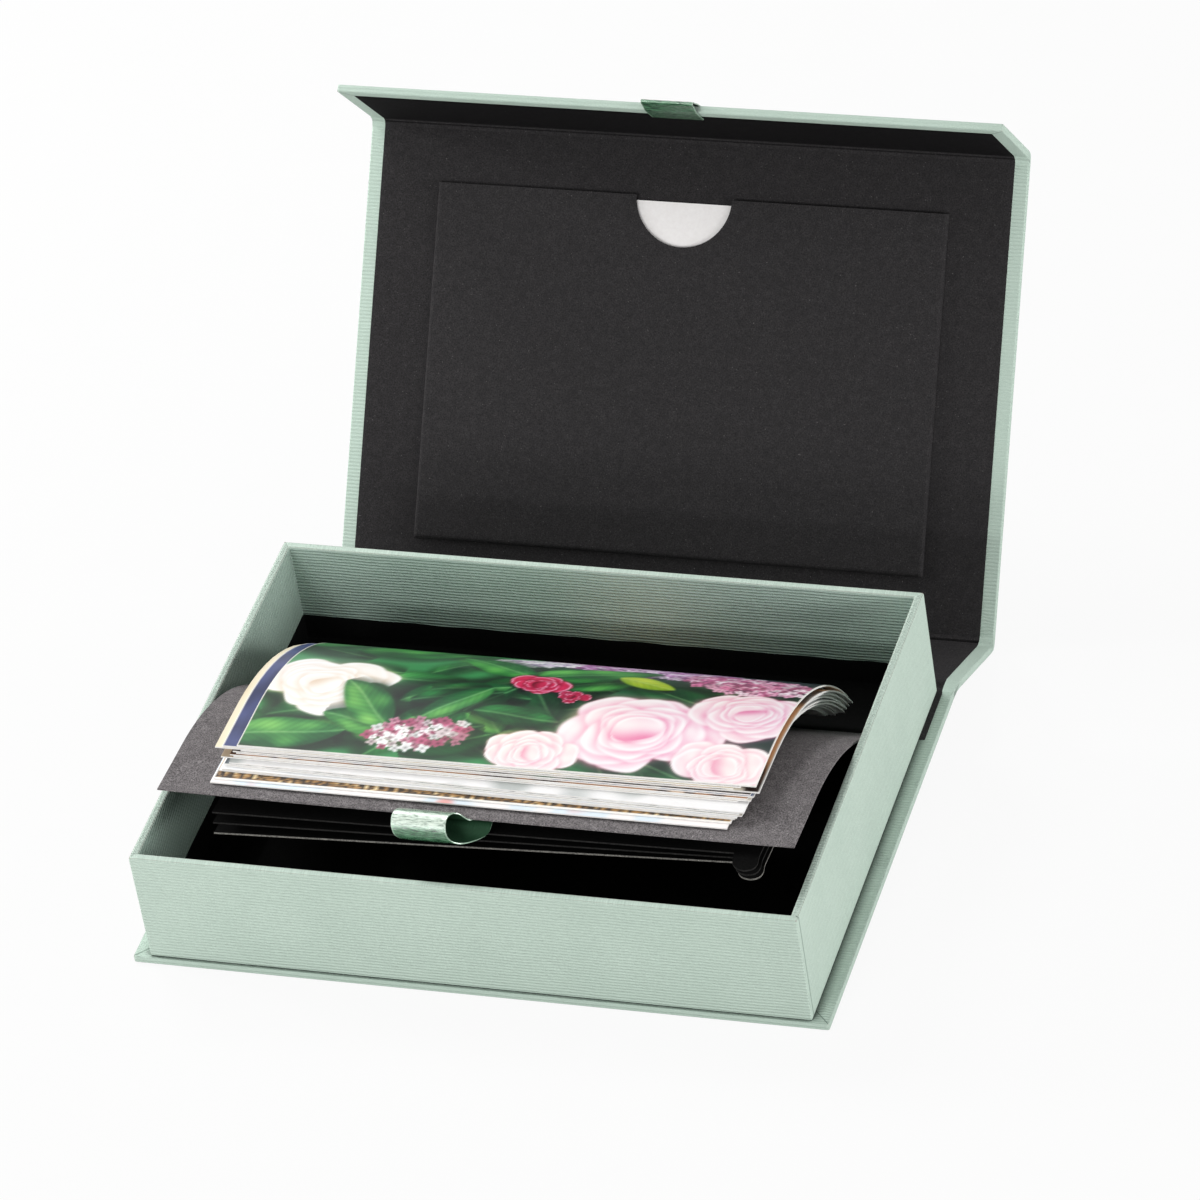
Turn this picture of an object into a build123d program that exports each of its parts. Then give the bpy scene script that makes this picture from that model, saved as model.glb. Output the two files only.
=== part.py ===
from build123d import *
import os
from math import asin, atan2, cos, degrees, hypot, radians, sin, tan

# Photo storage box, standing open, in millimetres. A tray of covered greyboard is glued to the base
# of a hinged case. The case is four boards in a row, base, spine, lid and flap, joined by paper
# hinges, and it wraps round the tray when it is closed. Open, the box stands on the front edge of
# its base and on the fold between spine and lid, so the tray leans a little forwards.
# X runs to the right, Y to the back and Z up. The origin is under the middle of the open box.

# ---------------------------------------------------------------- boards and papers
board = 2.0                 # greyboard of the walls and of the case
cover = 0.2                 # ribbed covering paper
lining = 0.2                # black lining paper
panel = cover + board + lining
glue_gap = 0.05             # round a piece that is let into a board

# ---------------------------------------------------------------- tray
tray_width = 196.0          # outside, over the covering paper
tray_depth = 142.0
tray_height = 37.0
liner_upstand = 11.0        # how far the black liner climbs the walls

# ---------------------------------------------------------------- case
side_overhang = 5.0         # case beyond the tray at each side
front_overhang = 1.0        # base beyond the front of the tray
gutter = 5.0                # bare paper between two boards at a fold
rim_clearance = 0.6         # closed lid above the rim of the tray
back_clearance = 0.5        # closed spine behind the tray
front_clearance = 0.6       # closed flap in front of the tray
flap_gap = 3.3              # closed flap above the base
turn_in = 4.2               # edging of covering paper seen round the lining
strip_depth = 22.5          # black lining strip on the base beside the tray

# ---------------------------------------------------------------- how far it stands open
spine_drop = 23.6           # spine falls below the base
lid_fold_angle = 74.3       # spine up to lid
flap_fold_angle = 80.1      # lid over to flap

# ---------------------------------------------------------------- lid pocket and its card
pocket_width = 160.0
pocket_height = 108.0
pocket_start = 20.0         # from the fold line to the pocket's lower edge
pocket_sheet = 0.5
pocket_room = 0.9           # space behind the pocket's front
pocket_seam = 3.0           # glued edge at each side
pocket_foot = 4.3           # glued edge along the bottom
thumb_radius = 15.0
thumb_offset = -2.0
index_width = 152.0
index_height = 102.0
index_sheet = 0.35
index_clearance = 0.1       # the card stands on the pocket's glued bottom edge

# ---------------------------------------------------------------- closure and ribbons
ribbon_width = 16.0
ribbon_sheet = 0.4
flap_ribbon_offset = 2.6
flap_ribbon_leg = 7.0       # ribbon glued along the board
flap_ribbon_reach = 9.0     # pull tab beyond the flap's edge
flap_ribbon_taper = 3.0     # over this length the two layers come together
ribbon_slit = 0.2           # left between the two layers
card_ribbon_offset = -15.0
card_ribbon_leg = 14.0
card_ribbon_radius = 6.0
card_ribbon_drop = 2.2      # middle of the loop below the card's underside
card_ribbon_gap = 1.3       # loop in front of the card's edge
glue_line = 0.05            # ribbon below the card
magnet_radius = 6.0
magnet_sheet = 1.2
magnet_spacing = 120.0
magnet_drop = 18.0          # from the top fold line to the magnets
plate_width = 18.0
plate_height = 12.0
plate_sheet = 1.0

# ---------------------------------------------------------------- lift-out card
card_side_gap = 2.1         # between the card and each side wall of the tray
card_shift = 0.8            # the card lies this far off the middle
card_sheet = 0.6
card_front = 16.5           # front edge, behind the tray's front face
card_height = 48.2          # front edge, above the tray's underside
card_slope = -3.5
card_flat = 21.5            # lengths of its stretches, from the front edge
card_bow = 54.0
card_foot = 17.5
card_over_dividers = 1.6    # its underside, above the back edge of the top raised divider
card_back_gap = 2.5         # between the card's back edge and the tray's back wall
seat_gap = 0.2              # loose sheets above what they lie on

# ---------------------------------------------------------------- photo prints, bowed over the card
print_width = 152.0
print_depth = 102.0
print_sheet = 0.25
print_pitch = 0.46
print_count = 16
print_slope = -0.5          # against the card's front stretch
print_flat = 27.0           # straight stretch of the lowest print
print_slack = 4.24          # radius of the lowest print's bow beyond the card's
print_setback = 4.5         # lowest print behind the card's front edge
print_lift = 0.5            # lowest print above the card
print_fan = 9.0             # top print further back than the lowest
print_sway = 6.0            # top print further right than the lowest
print_shift = -3.0          # lowest print, off the middle

# ---------------------------------------------------------------- black divider cards
divider_width = 160.0
divider_depth = 98.0
divider_sheet = 0.5
divider_gap = 0.05
divider_shift = 3.0         # dividers lie this far off the middle
flat_dividers = 5
flat_divider_gap = 3.0      # tabs of the lying dividers behind the tray's front wall
raised_dividers = 3
raised_front = 15.5         # front edge, behind the tray's front face
raised_drop = 10.6          # front edge of the lowest raised divider below the card's
raised_pitch = 3.1          # and from each to the next
raised_flat = 20.5          # straight stretch at the front
raised_bow = 55.0           # curved stretch behind it
raised_bow_turn = -16.4     # bow of the lowest raised divider
raised_bow_step = -4.0      # more bow on each one above
raised_end_pitch = 2.1      # between their back edges
raised_yaw = 1.2            # the lowest one lies this much askew
raised_yaw_step = -0.4      # less on each one above
tab_width = 8.0
tab_reach = 7.0
tab_bend = 2.0              # length of the bend where a raised tab droops
tab_droop = 37.0

# ---------------------------------------------------------------- worked out from the sizes above
case_width = tray_width + 2 * side_overhang
base_fold = tray_depth + back_clearance + panel
base_run = front_overhang + base_fold
spine_length = tray_height + 2 * panel + rim_clearance - gutter
lid_length = base_fold + front_clearance + panel - gutter
flap_length = spine_length + gutter / 2 - panel - flap_gap
board_width = case_width - 2 * cover
lining_width = case_width - 2 * turn_in
hinge_sheet = cover + lining
wall = cover + board + cover
inner_width = tray_width - 2 * wall
floor_top = board + lining
pocket_end = pocket_start + pocket_height
flap_end = gutter / 2 + flap_length
plate_middle = tray_height + panel + rim_clearance - magnet_drop
card_width = inner_width - 2 * card_side_gap
pile_top = floor_top + seat_gap + flat_dividers * (divider_sheet + divider_gap)


def fold_radius(angle):
    """Outside radius of the paper round a fold that turns by this angle."""
    return gutter / 2 / tan(radians(abs(angle)) / 2)


def lean_forward():
    """Tilt that sets the base's front edge and the fold between spine and lid on one level."""
    fall = radians(-spine_drop)
    run = spine_length + gutter / 2
    radius = fold_radius(lid_fold_angle)
    back = base_run + run * cos(fall) - radius * sin(fall)
    up = run * sin(fall) + radius * cos(fall)
    return degrees(asin(radius / hypot(back, up)) - atan2(up, back))


def leaning_plane(back, up, slope):
    """Plane through a point of the side view, with Y along the sheet and Z towards its inside."""
    lean = radians(slope)
    return Plane(origin=(0, back, up), x_dir=(1, 0, 0), z_dir=(0, -sin(lean), cos(lean)))


def moved(plane, right=0.0, along=0.0, up=0.0, slope=0.0, yaw=0.0):
    """The plane carried to a point given in its own directions, turned flat by yaw, then sloped."""
    turned = Rotation(0, 0, yaw) * Rotation(slope, 0, 0)
    return Plane(plane.location * Location((right, along, up)) * turned)


def side_of(plane, width):
    """Section plane at the left end of a sheet: X along the sheet and Y towards its inside."""
    corner = plane.from_local_coords(Vector(-width / 2, 0, 0))
    return Plane(origin=corner, x_dir=plane.y_dir, z_dir=plane.x_dir)


# The side view: the base rises by the tilt, the spine falls, the lid leans back, the flap forward.
tilt = lean_forward()
spine_slope = tilt - spine_drop
lid_slope = spine_slope + lid_fold_angle
rim_lean = (panel + tray_height) * sin(radians(tilt)) - front_overhang * cos(radians(tilt))
crown_radius = fold_radius(flap_fold_angle)
crown_back = (
    base_run * cos(radians(tilt))
    + (gutter + spine_length) * cos(radians(spine_slope))
    + (gutter / 2 + lid_length) * cos(radians(lid_slope))
    + crown_radius * (1 - sin(radians(lid_slope)))
)

base_sheet = leaning_plane((rim_lean - crown_back) / 2, 0, tilt)
spine_sheet = moved(base_sheet, along=base_run, slope=-spine_drop)
lid_sheet = moved(spine_sheet, along=gutter + spine_length, slope=lid_fold_angle)
flap_sheet = moved(lid_sheet, along=gutter + lid_length, slope=flap_fold_angle)
tray_sheet = moved(base_sheet, along=front_overhang, up=panel)


def save(piece, name):
    """Label a finished piece and write it."""
    piece.part.label = name
    export_step(piece.part, f"parts/{name}.step")


def area(left, right, near, far, mode=Mode.ADD):
    """Rectangle in the current sketch, from left to right and from near to far."""
    with Locations(((left + right) / 2, (near + far) / 2)):
        Rectangle(right - left, far - near, mode=mode)


def band(width, near, far, mode=Mode.ADD):
    """Rectangle across the middle of the current sketch."""
    area(-width / 2, width / 2, near, far, mode)


def slab(plane, width, near, far, low, high, mode=Mode.ADD):
    """Flat layer of the current part, between two heights over the plane."""
    with BuildSketch(plane.offset(low)) as outline:
        band(width, near, far)
    extrude(outline.sketch, amount=high - low, mode=mode)


def ring(width, near, far, thickness, low, high):
    """Upright skin of the tray in the current part, this thick inside the given outline."""
    with BuildSketch(tray_sheet.offset(low)) as outline:
        band(width, near, far)
        band(width - 2 * thickness, near + thickness, far - thickness, mode=Mode.SUBTRACT)
    extrude(outline.sketch, amount=high - low)


def end_of(shape, slope=0.0):
    """How far along and up a bent sheet's underside ends, when it starts at this slope."""
    along = 0.0
    up = 0.0
    for length, turn in shape:
        chord = length
        if turn:
            chord = length * sin(radians(turn) / 2) / (radians(turn) / 2)
        along += chord * cos(radians(slope + turn / 2))
        up += chord * sin(radians(slope + turn / 2))
        slope += turn
    return along, up


def raised_divider(count):
    """One raised divider in side view: its shape, the slope and height of its front, its back edge."""
    turn = raised_bow_turn + raised_bow_step * count
    shape = [(raised_flat, 0), (raised_bow, turn), (divider_depth - raised_flat - raised_bow, 0)]
    front = card_height - raised_drop + raised_pitch * count
    end = pile_top + seat_gap + raised_end_pitch * count
    along, up = end_of(shape)
    slope = degrees(-asin((front - end) / hypot(along, up)) - atan2(up, along))
    run, rise = end_of(shape, slope)
    return shape, slope, front, (raised_front + run, end + divider_sheet)


def sagging_bow():
    """Turn of the card's bow that brings its ramp down over the back edge of the top divider."""
    back, top = raised_divider(raised_dividers - 1)[-1]
    flat, steep = -10.0, -80.0
    while flat - steep > 0.0001:
        turn = (flat + steep) / 2
        run, rise = end_of([(card_flat, 0), (card_bow, turn)], card_slope)
        fall = (back - card_front - run) * tan(radians(-card_slope - turn))
        if card_height + rise - fall > top + card_over_dividers:
            flat = turn
        else:
            steep = turn
    return flat


def bent_outline(shape, rise):
    """Face of a bent sheet in side view, this far above its underside. Gives the point it ends at."""
    point = Vector(0, rise)
    heading = Vector(1, 0)
    for length, turn in shape:
        if turn:
            radius = length / radians(abs(turn)) - rise * turn / abs(turn)
            stretch = JernArc(start=point, tangent=heading, radius=radius, arc_size=turn)
        else:
            stretch = Line(point, point + heading * length)
        point = stretch @ 1
        heading = stretch % 1
    return point


def bent_sheet(plane, width, shape, thickness):
    """Bent sheet in the current part. Its shape lists each stretch from the front: length and turn."""
    with BuildSketch(side_of(plane, width)) as profile:
        with BuildLine():
            under = bent_outline(shape, 0)
            over = bent_outline(shape, thickness)
            Line((0, 0), (0, thickness))
            Line(under, over)
        make_face()
    extrude(profile.sketch, amount=width)


def covered_board(name, sheet, near, far, lining_near, lining_far, near_edge=0, far_edge=0, recesses=()):
    """Case board, its covering paper turned in round the edges, and the lining between the turn-ins."""
    with BuildPart() as greyboard:
        slab(sheet, board_width, near + near_edge, far - far_edge, cover, cover + board)
        if recesses:
            with BuildSketch(sheet.offset(cover + board)):
                with Locations(*recesses):
                    Circle(magnet_radius + glue_gap)
            extrude(amount=-magnet_sheet, mode=Mode.SUBTRACT)
    save(greyboard, f"{name}_board")

    with BuildPart() as paper:
        slab(sheet, case_width, near, far, 0, panel)
        slab(sheet, board_width, near + near_edge, far - far_edge, cover, cover + board, Mode.SUBTRACT)
        slab(sheet, lining_width, lining_near, lining_far, cover + board, panel, Mode.SUBTRACT)
    save(paper, f"{name}_cover_paper")

    with BuildPart() as inside:
        slab(sheet, lining_width, lining_near, lining_far, cover + board, panel)
    save(inside, f"{name}_lining")


def paper_hinge(name, sheet, fold, angle):
    """Paper and lining across one gutter, bent tangent to the boards on both sides."""
    with BuildPart() as strip:
        bow = (fold_radius(angle) * radians(abs(angle)), angle)
        bent_sheet(moved(sheet, along=fold - gutter / 2), case_width, [bow], hinge_sheet)
    save(strip, name)


os.makedirs("parts", exist_ok=True)

# ---------------------------------------------------------------- case boards
spine_end = gutter / 2 + spine_length
lid_end = gutter / 2 + lid_length
base_end = base_run - gutter / 2
magnet_places = [(side * magnet_spacing / 2, magnet_drop) for side in (-1, 1)]

covered_board("base", base_sheet, 0, base_end, base_end - strip_depth, base_end, near_edge=cover)
covered_board("spine", spine_sheet, gutter / 2, spine_end, gutter / 2, spine_end)
covered_board("lid", lid_sheet, gutter / 2, lid_end, gutter / 2, lid_end)
covered_board(
    "flap", flap_sheet, gutter / 2, flap_end, gutter / 2, flap_end - turn_in,
    far_edge=cover, recesses=magnet_places,
)

with BuildPart() as flap_magnets:
    with BuildSketch(flap_sheet.offset(cover + board)):
        with Locations(*magnet_places):
            Circle(magnet_radius)
    extrude(amount=-magnet_sheet)
save(flap_magnets, "flap_magnets")

paper_hinge("base_spine_hinge", base_sheet, base_run, -spine_drop)
paper_hinge("spine_lid_hinge", spine_sheet, spine_end + gutter / 2, lid_fold_angle)
paper_hinge("lid_flap_hinge", lid_sheet, lid_end + gutter / 2, flap_fold_angle)

# ---------------------------------------------------------------- pull ribbon on the flap
ribbon_middle = panel / 2
tab_half = (ribbon_slit + ribbon_sheet) / 2
with BuildPart() as flap_ribbon:
    with BuildSketch(side_of(moved(flap_sheet, right=flap_ribbon_offset), ribbon_width)):
        with BuildLine():
            Polyline(
                (flap_end - flap_ribbon_leg, panel + ribbon_sheet / 2),
                (flap_end + ribbon_sheet, panel + ribbon_sheet / 2),
                (flap_end + flap_ribbon_taper, ribbon_middle + tab_half),
                (flap_end + flap_ribbon_reach, ribbon_middle + tab_half),
                (flap_end + flap_ribbon_reach, ribbon_middle - tab_half),
                (flap_end + flap_ribbon_taper, ribbon_middle - tab_half),
                (flap_end + ribbon_sheet, -ribbon_sheet / 2),
                (flap_end - flap_ribbon_leg, -ribbon_sheet / 2),
            )
        trace(line_width=ribbon_sheet)
    extrude(amount=ribbon_width)
save(flap_ribbon, "flap_ribbon")

# ---------------------------------------------------------------- tray
with BuildPart() as tray_floor_board:
    slab(tray_sheet, inner_width + 2 * cover, wall - cover, tray_depth - wall + cover, 0, board)
save(tray_floor_board, "tray_floor_board")

plate_places = [(side * magnet_spacing / 2, plate_middle) for side in (-1, 1)]
front_face = Plane(
    origin=tray_sheet.from_local_coords(Vector(0, cover, 0)), x_dir=(1, 0, 0), z_dir=-tray_sheet.y_dir
)
with BuildPart() as tray_front_wall:
    slab(tray_sheet, tray_width - 2 * cover, cover, cover + board, 0, tray_height - cover)
    with BuildSketch(front_face):
        with Locations(*plate_places):
            Rectangle(plate_width + 2 * glue_gap, plate_height + 2 * glue_gap)
    extrude(amount=-plate_sheet, mode=Mode.SUBTRACT)
save(tray_front_wall, "tray_front_wall")

with BuildPart() as tray_front_plates:
    with BuildSketch(front_face):
        with Locations(*plate_places):
            Rectangle(plate_width, plate_height)
    extrude(amount=-plate_sheet)
save(tray_front_plates, "tray_front_plates")

with BuildPart() as tray_back_wall:
    far = tray_depth - cover
    slab(tray_sheet, tray_width - 2 * cover, far - board, far, 0, tray_height - cover)
save(tray_back_wall, "tray_back_wall")

for name, side in (("tray_left_wall", -1), ("tray_right_wall", 1)):
    place = moved(tray_sheet, right=side * (tray_width / 2 - cover - board / 2))
    with BuildPart() as side_wall:
        slab(place, board, wall - cover, tray_depth - wall + cover, 0, tray_height - cover)
    save(side_wall, name)

with BuildPart() as tray_wrap_paper:
    ring(tray_width, 0, tray_depth, cover, 0, tray_height)
    ring(tray_width, 0, tray_depth, wall, tray_height - cover, tray_height)
    ring(inner_width + 2 * cover, wall - cover, tray_depth - wall + cover, cover, board, tray_height)
save(tray_wrap_paper, "tray_wrap_paper")

with BuildPart() as tray_liner:
    slab(tray_sheet, inner_width, wall, tray_depth - wall, board, floor_top)
    ring(inner_width, wall, tray_depth - wall, lining, board, liner_upstand)
save(tray_liner, "tray_liner")

# ---------------------------------------------------------------- pocket and index card on the lid
with BuildPart() as pocket_panel:
    with BuildSketch(lid_sheet.offset(panel + pocket_room)):
        band(pocket_width, pocket_start, pocket_end)
        with Locations((thumb_offset, pocket_end)):
            Circle(thumb_radius, mode=Mode.SUBTRACT)
    extrude(amount=pocket_sheet)
save(pocket_panel, "pocket_panel")

with BuildPart() as pocket_seams:
    with BuildSketch(lid_sheet.offset(panel)):
        band(pocket_width, pocket_start, pocket_end)
        band(pocket_width - 2 * pocket_seam, pocket_start + pocket_foot, pocket_end, mode=Mode.SUBTRACT)
    extrude(amount=pocket_room)
save(pocket_seams, "pocket_seams")

with BuildPart() as index_card:
    low = panel + (pocket_room - index_sheet) / 2
    near = pocket_start + pocket_foot + index_clearance
    slab(lid_sheet, index_width, near, near + index_height, low, low + index_sheet)
save(index_card, "index_card")

# ---------------------------------------------------------------- lift-out card and its ribbon
card_plane = moved(tray_sheet, right=card_shift, along=card_front, up=card_height, slope=card_slope)
card_bow_turn = sagging_bow()
ramp_slope = card_slope + card_bow_turn
bow = [(card_flat, 0), (card_bow, card_bow_turn)]
foot = (card_foot, -ramp_slope)
bow_run, bow_rise = end_of(bow, card_slope)
foot_run, foot_rise = end_of([foot], ramp_slope)
ramp = (card_height + bow_rise + foot_rise - floor_top - seat_gap) / sin(radians(-ramp_slope))
ramp_run = ramp * cos(radians(ramp_slope))
tail = tray_depth - wall - card_back_gap - card_front - bow_run - ramp_run - foot_run

with BuildPart() as lift_out_card:
    bent_sheet(card_plane, card_width, bow + [(ramp, 0), foot, (tail, 0)], card_sheet)
save(lift_out_card, "lift_out_card")

loop_back = card_ribbon_radius + ribbon_sheet / 2 + card_ribbon_gap
leg_middle = glue_line + ribbon_sheet / 2
leg_near = -loop_back + (card_ribbon_radius**2 - (card_ribbon_drop - leg_middle) ** 2) ** 0.5
with BuildPart() as card_ribbon:
    with BuildSketch(side_of(moved(card_plane, right=card_ribbon_offset - card_shift), ribbon_width)):
        with Locations((-loop_back, -card_ribbon_drop)):
            Circle(card_ribbon_radius + ribbon_sheet / 2)
            Circle(card_ribbon_radius - ribbon_sheet / 2, mode=Mode.SUBTRACT)
        area(leg_near, card_ribbon_leg, -glue_line - ribbon_sheet, -glue_line)
    extrude(amount=ribbon_width)
save(card_ribbon, "card_ribbon")

# ---------------------------------------------------------------- photo prints
print_plane = moved(card_plane, along=print_setback, up=card_sheet + print_lift, slope=print_slope)
print_radius = card_bow / radians(-card_bow_turn) + print_slack
with BuildPart() as photo_prints:
    for count in range(print_count):
        share = count / (print_count - 1)
        back = print_fan * share
        rise = print_pitch * count
        curved = print_depth - print_flat + back
        turn = -degrees(curved / (print_radius + rise))
        place = moved(print_plane, right=print_shift + print_sway * share, along=back, up=rise)
        bent_sheet(place, print_width, [(print_flat - back, 0), (curved, turn)], print_sheet)
save(photo_prints, "photo_prints")

# ---------------------------------------------------------------- divider cards
near = wall + flat_divider_gap + tab_reach
with BuildPart() as divider_cards:
    for count in range(flat_dividers):
        low = floor_top + seat_gap + count * (divider_sheet + divider_gap)
        with BuildSketch(moved(tray_sheet, right=divider_shift, up=low)):
            band(divider_width, near, near + divider_depth)
            area(divider_width / 2 - tab_width, divider_width / 2, near - tab_reach, near)
        extrude(amount=divider_sheet)
save(divider_cards, "divider_cards")

with BuildPart() as raised_divider_cards:
    for count in range(raised_dividers):
        shape, slope, front, back_edge = raised_divider(count)
        sheet = moved(
            tray_sheet, right=divider_shift, along=raised_front, up=front,
            slope=slope, yaw=raised_yaw + raised_yaw_step * count,
        )
        bent_sheet(sheet, divider_width, shape, divider_sheet)
        droop = [(tab_reach - tab_bend, 0), (tab_bend, -tab_droop), (tab_bend, 0)]
        along, up = end_of(droop, tab_droop)
        tab = moved(
            sheet, right=(divider_width - tab_width) / 2, along=tab_bend - along, up=-up, slope=tab_droop
        )
        bent_sheet(tab, tab_width, droop, divider_sheet)
save(raised_divider_cards, "raised_divider_cards")
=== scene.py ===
"""Looks of the photo storage box: covered boards, ribbon pulls, loose cards and bowed photographs."""
from math import cos, pi, radians, sin

import bmesh
import bpy
import numpy as np
from mathutils import Matrix, Vector


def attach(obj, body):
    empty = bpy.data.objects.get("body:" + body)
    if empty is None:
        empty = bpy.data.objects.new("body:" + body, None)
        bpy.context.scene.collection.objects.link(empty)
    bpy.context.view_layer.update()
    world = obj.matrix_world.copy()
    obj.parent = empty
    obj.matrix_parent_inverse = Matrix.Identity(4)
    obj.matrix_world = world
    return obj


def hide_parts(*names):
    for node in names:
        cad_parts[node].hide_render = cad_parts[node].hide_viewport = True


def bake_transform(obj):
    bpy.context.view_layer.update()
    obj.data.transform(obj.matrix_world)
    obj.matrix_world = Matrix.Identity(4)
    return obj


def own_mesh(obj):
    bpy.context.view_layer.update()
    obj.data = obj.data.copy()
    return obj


MM = 0.001

# ---------------------------------------------------------------- sizes of the box, in millimetres
PANEL = 2.4             # a covered board
CASE_WIDTH = 206.0
TURN_IN = 4.2           # edging of covering paper round a lining
LINING_WIDTH = CASE_WIDTH - 2 * TURN_IN
GUTTER_HALF = 2.5
BASE_END = 143.4
BASE_STRIP = 22.5       # black strip on the base, behind and beside the tray
SPINE_END = 39.9
LID_END = 145.4
FLAP_END = 36.7
TRAY_WIDTH, TRAY_DEPTH, TRAY_HEIGHT, WALL = 196.0, 142.0, 37.0, 2.4
LINER_TOP = 11.0
FLOOR_TOP = 2.2
PRINT_WIDTH, PRINT_DEPTH = 152.0, 102.0
PRINT_SHEET = 0.42      # thicker than real photographic paper, so that the pile's edges close up
DIVIDER_WIDTH, DIVIDER_DEPTH, DIVIDER_SHEET = 160.0, 98.0, 0.5
SHADE_BLACK_FROM = 108.0      # where the lift-out card is drawn black, from its front: painted shade
RIBBON_WIDTH, RIBBON_SHEET = 16.0, 0.35
LOOP_SHEEN_CENTRE = 20.6       # crown of the card ribbon's bend, from its glued end: middle of painted sheen
NO_SHEEN = -50.0        # for a ribbon with no painted sheen: far before its start
RIB_PITCH = 1.1         # ribs of the covering paper
PAPER = 0.2             # thickness of the covering paper, and of the lining
EDGE_ROUND = 0.42       # covering paper's outer radius round a board's edge
TURNED_TOP = PANEL - 0.1    # top of the turned-in paper, a little lower than the lining's
NO_SEAM = 50.0          # distance that is given to paper with no seam near it
GOLDEN_ANGLE = 2.399    # radians; turning by it spreads petals and florets evenly


def sheet_plane(back, up, slope, right=0.0):
    """A sheet's own frame: its origin, and its directions along the sheet and towards its inside."""
    lean = radians(slope)
    return (
        np.array([right, back, up]),
        np.array([0.0, cos(lean), sin(lean)]),
        np.array([0.0, -sin(lean), cos(lean)]),
    )


TILT = 5.0569
BASE = sheet_plane(-132.6936, 0.0, TILT)
SPINE = sheet_plane(12.6386, 12.8602, TILT - 23.6)
LID = sheet_plane(52.8373, -0.6237, TILT + 50.7)
FLAP = sheet_plane(136.0616, 121.6388, TILT + 130.8)
TRAY = sheet_plane(-131.9090, 2.4788, TILT)
CARD = sheet_plane(-119.7218, 51.9456, TILT - 3.5, right=0.8)
PRINTS = sheet_plane(-115.2533, 53.1674, TILT - 4.0, right=0.8)


def place(plane, right, along, up):
    """World place in metres: the origin, plus each of the sheet's own directions times its distance."""
    origin, y_way, z_way = plane
    right, along, up = np.broadcast_arrays(right, along, up)
    world = origin + along[..., None] * y_way + up[..., None] * z_way
    world[..., 0] += right
    return world * MM


# ---------------------------------------------------------------- colours and nodes
def to_linear(share):
    """sRGB shares of 1 to linear ones: the sRGB curve."""
    return np.where(share <= 0.04045, share / 12.92, ((share + 0.055) / 1.055) ** 2.4)


def shade(hex_colour):
    """sRGB shares of 1 of a hex colour."""
    return np.array([int(hex_colour[i:i + 2], 16) for i in (1, 3, 5)]) / 255


def linear(hex_colour):
    """sRGB hex to the linear colour that a shader socket takes."""
    return (*to_linear(shade(hex_colour)), 1.0)


def add(tree, kind, inputs=None, out=0, **settings):
    """One shader node, with its settings and its inputs, each a socket to link or a value to set. It
    gives one of the node's outputs."""
    node = tree.nodes.new("ShaderNode" + kind)
    for name, value in settings.items():
        setattr(node, name, value)
    for name, value in (inputs or {}).items():
        if isinstance(value, bpy.types.NodeSocket):
            tree.links.new(value, node.inputs[name])
        else:
            node.inputs[name].default_value = value
    return node.outputs[out] if node.outputs else node


def new_finish(name):
    """An empty material and its node tree."""
    material = bpy.data.materials.new(name)
    material.use_nodes = True
    material.node_tree.nodes.clear()
    return material, material.node_tree


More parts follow.
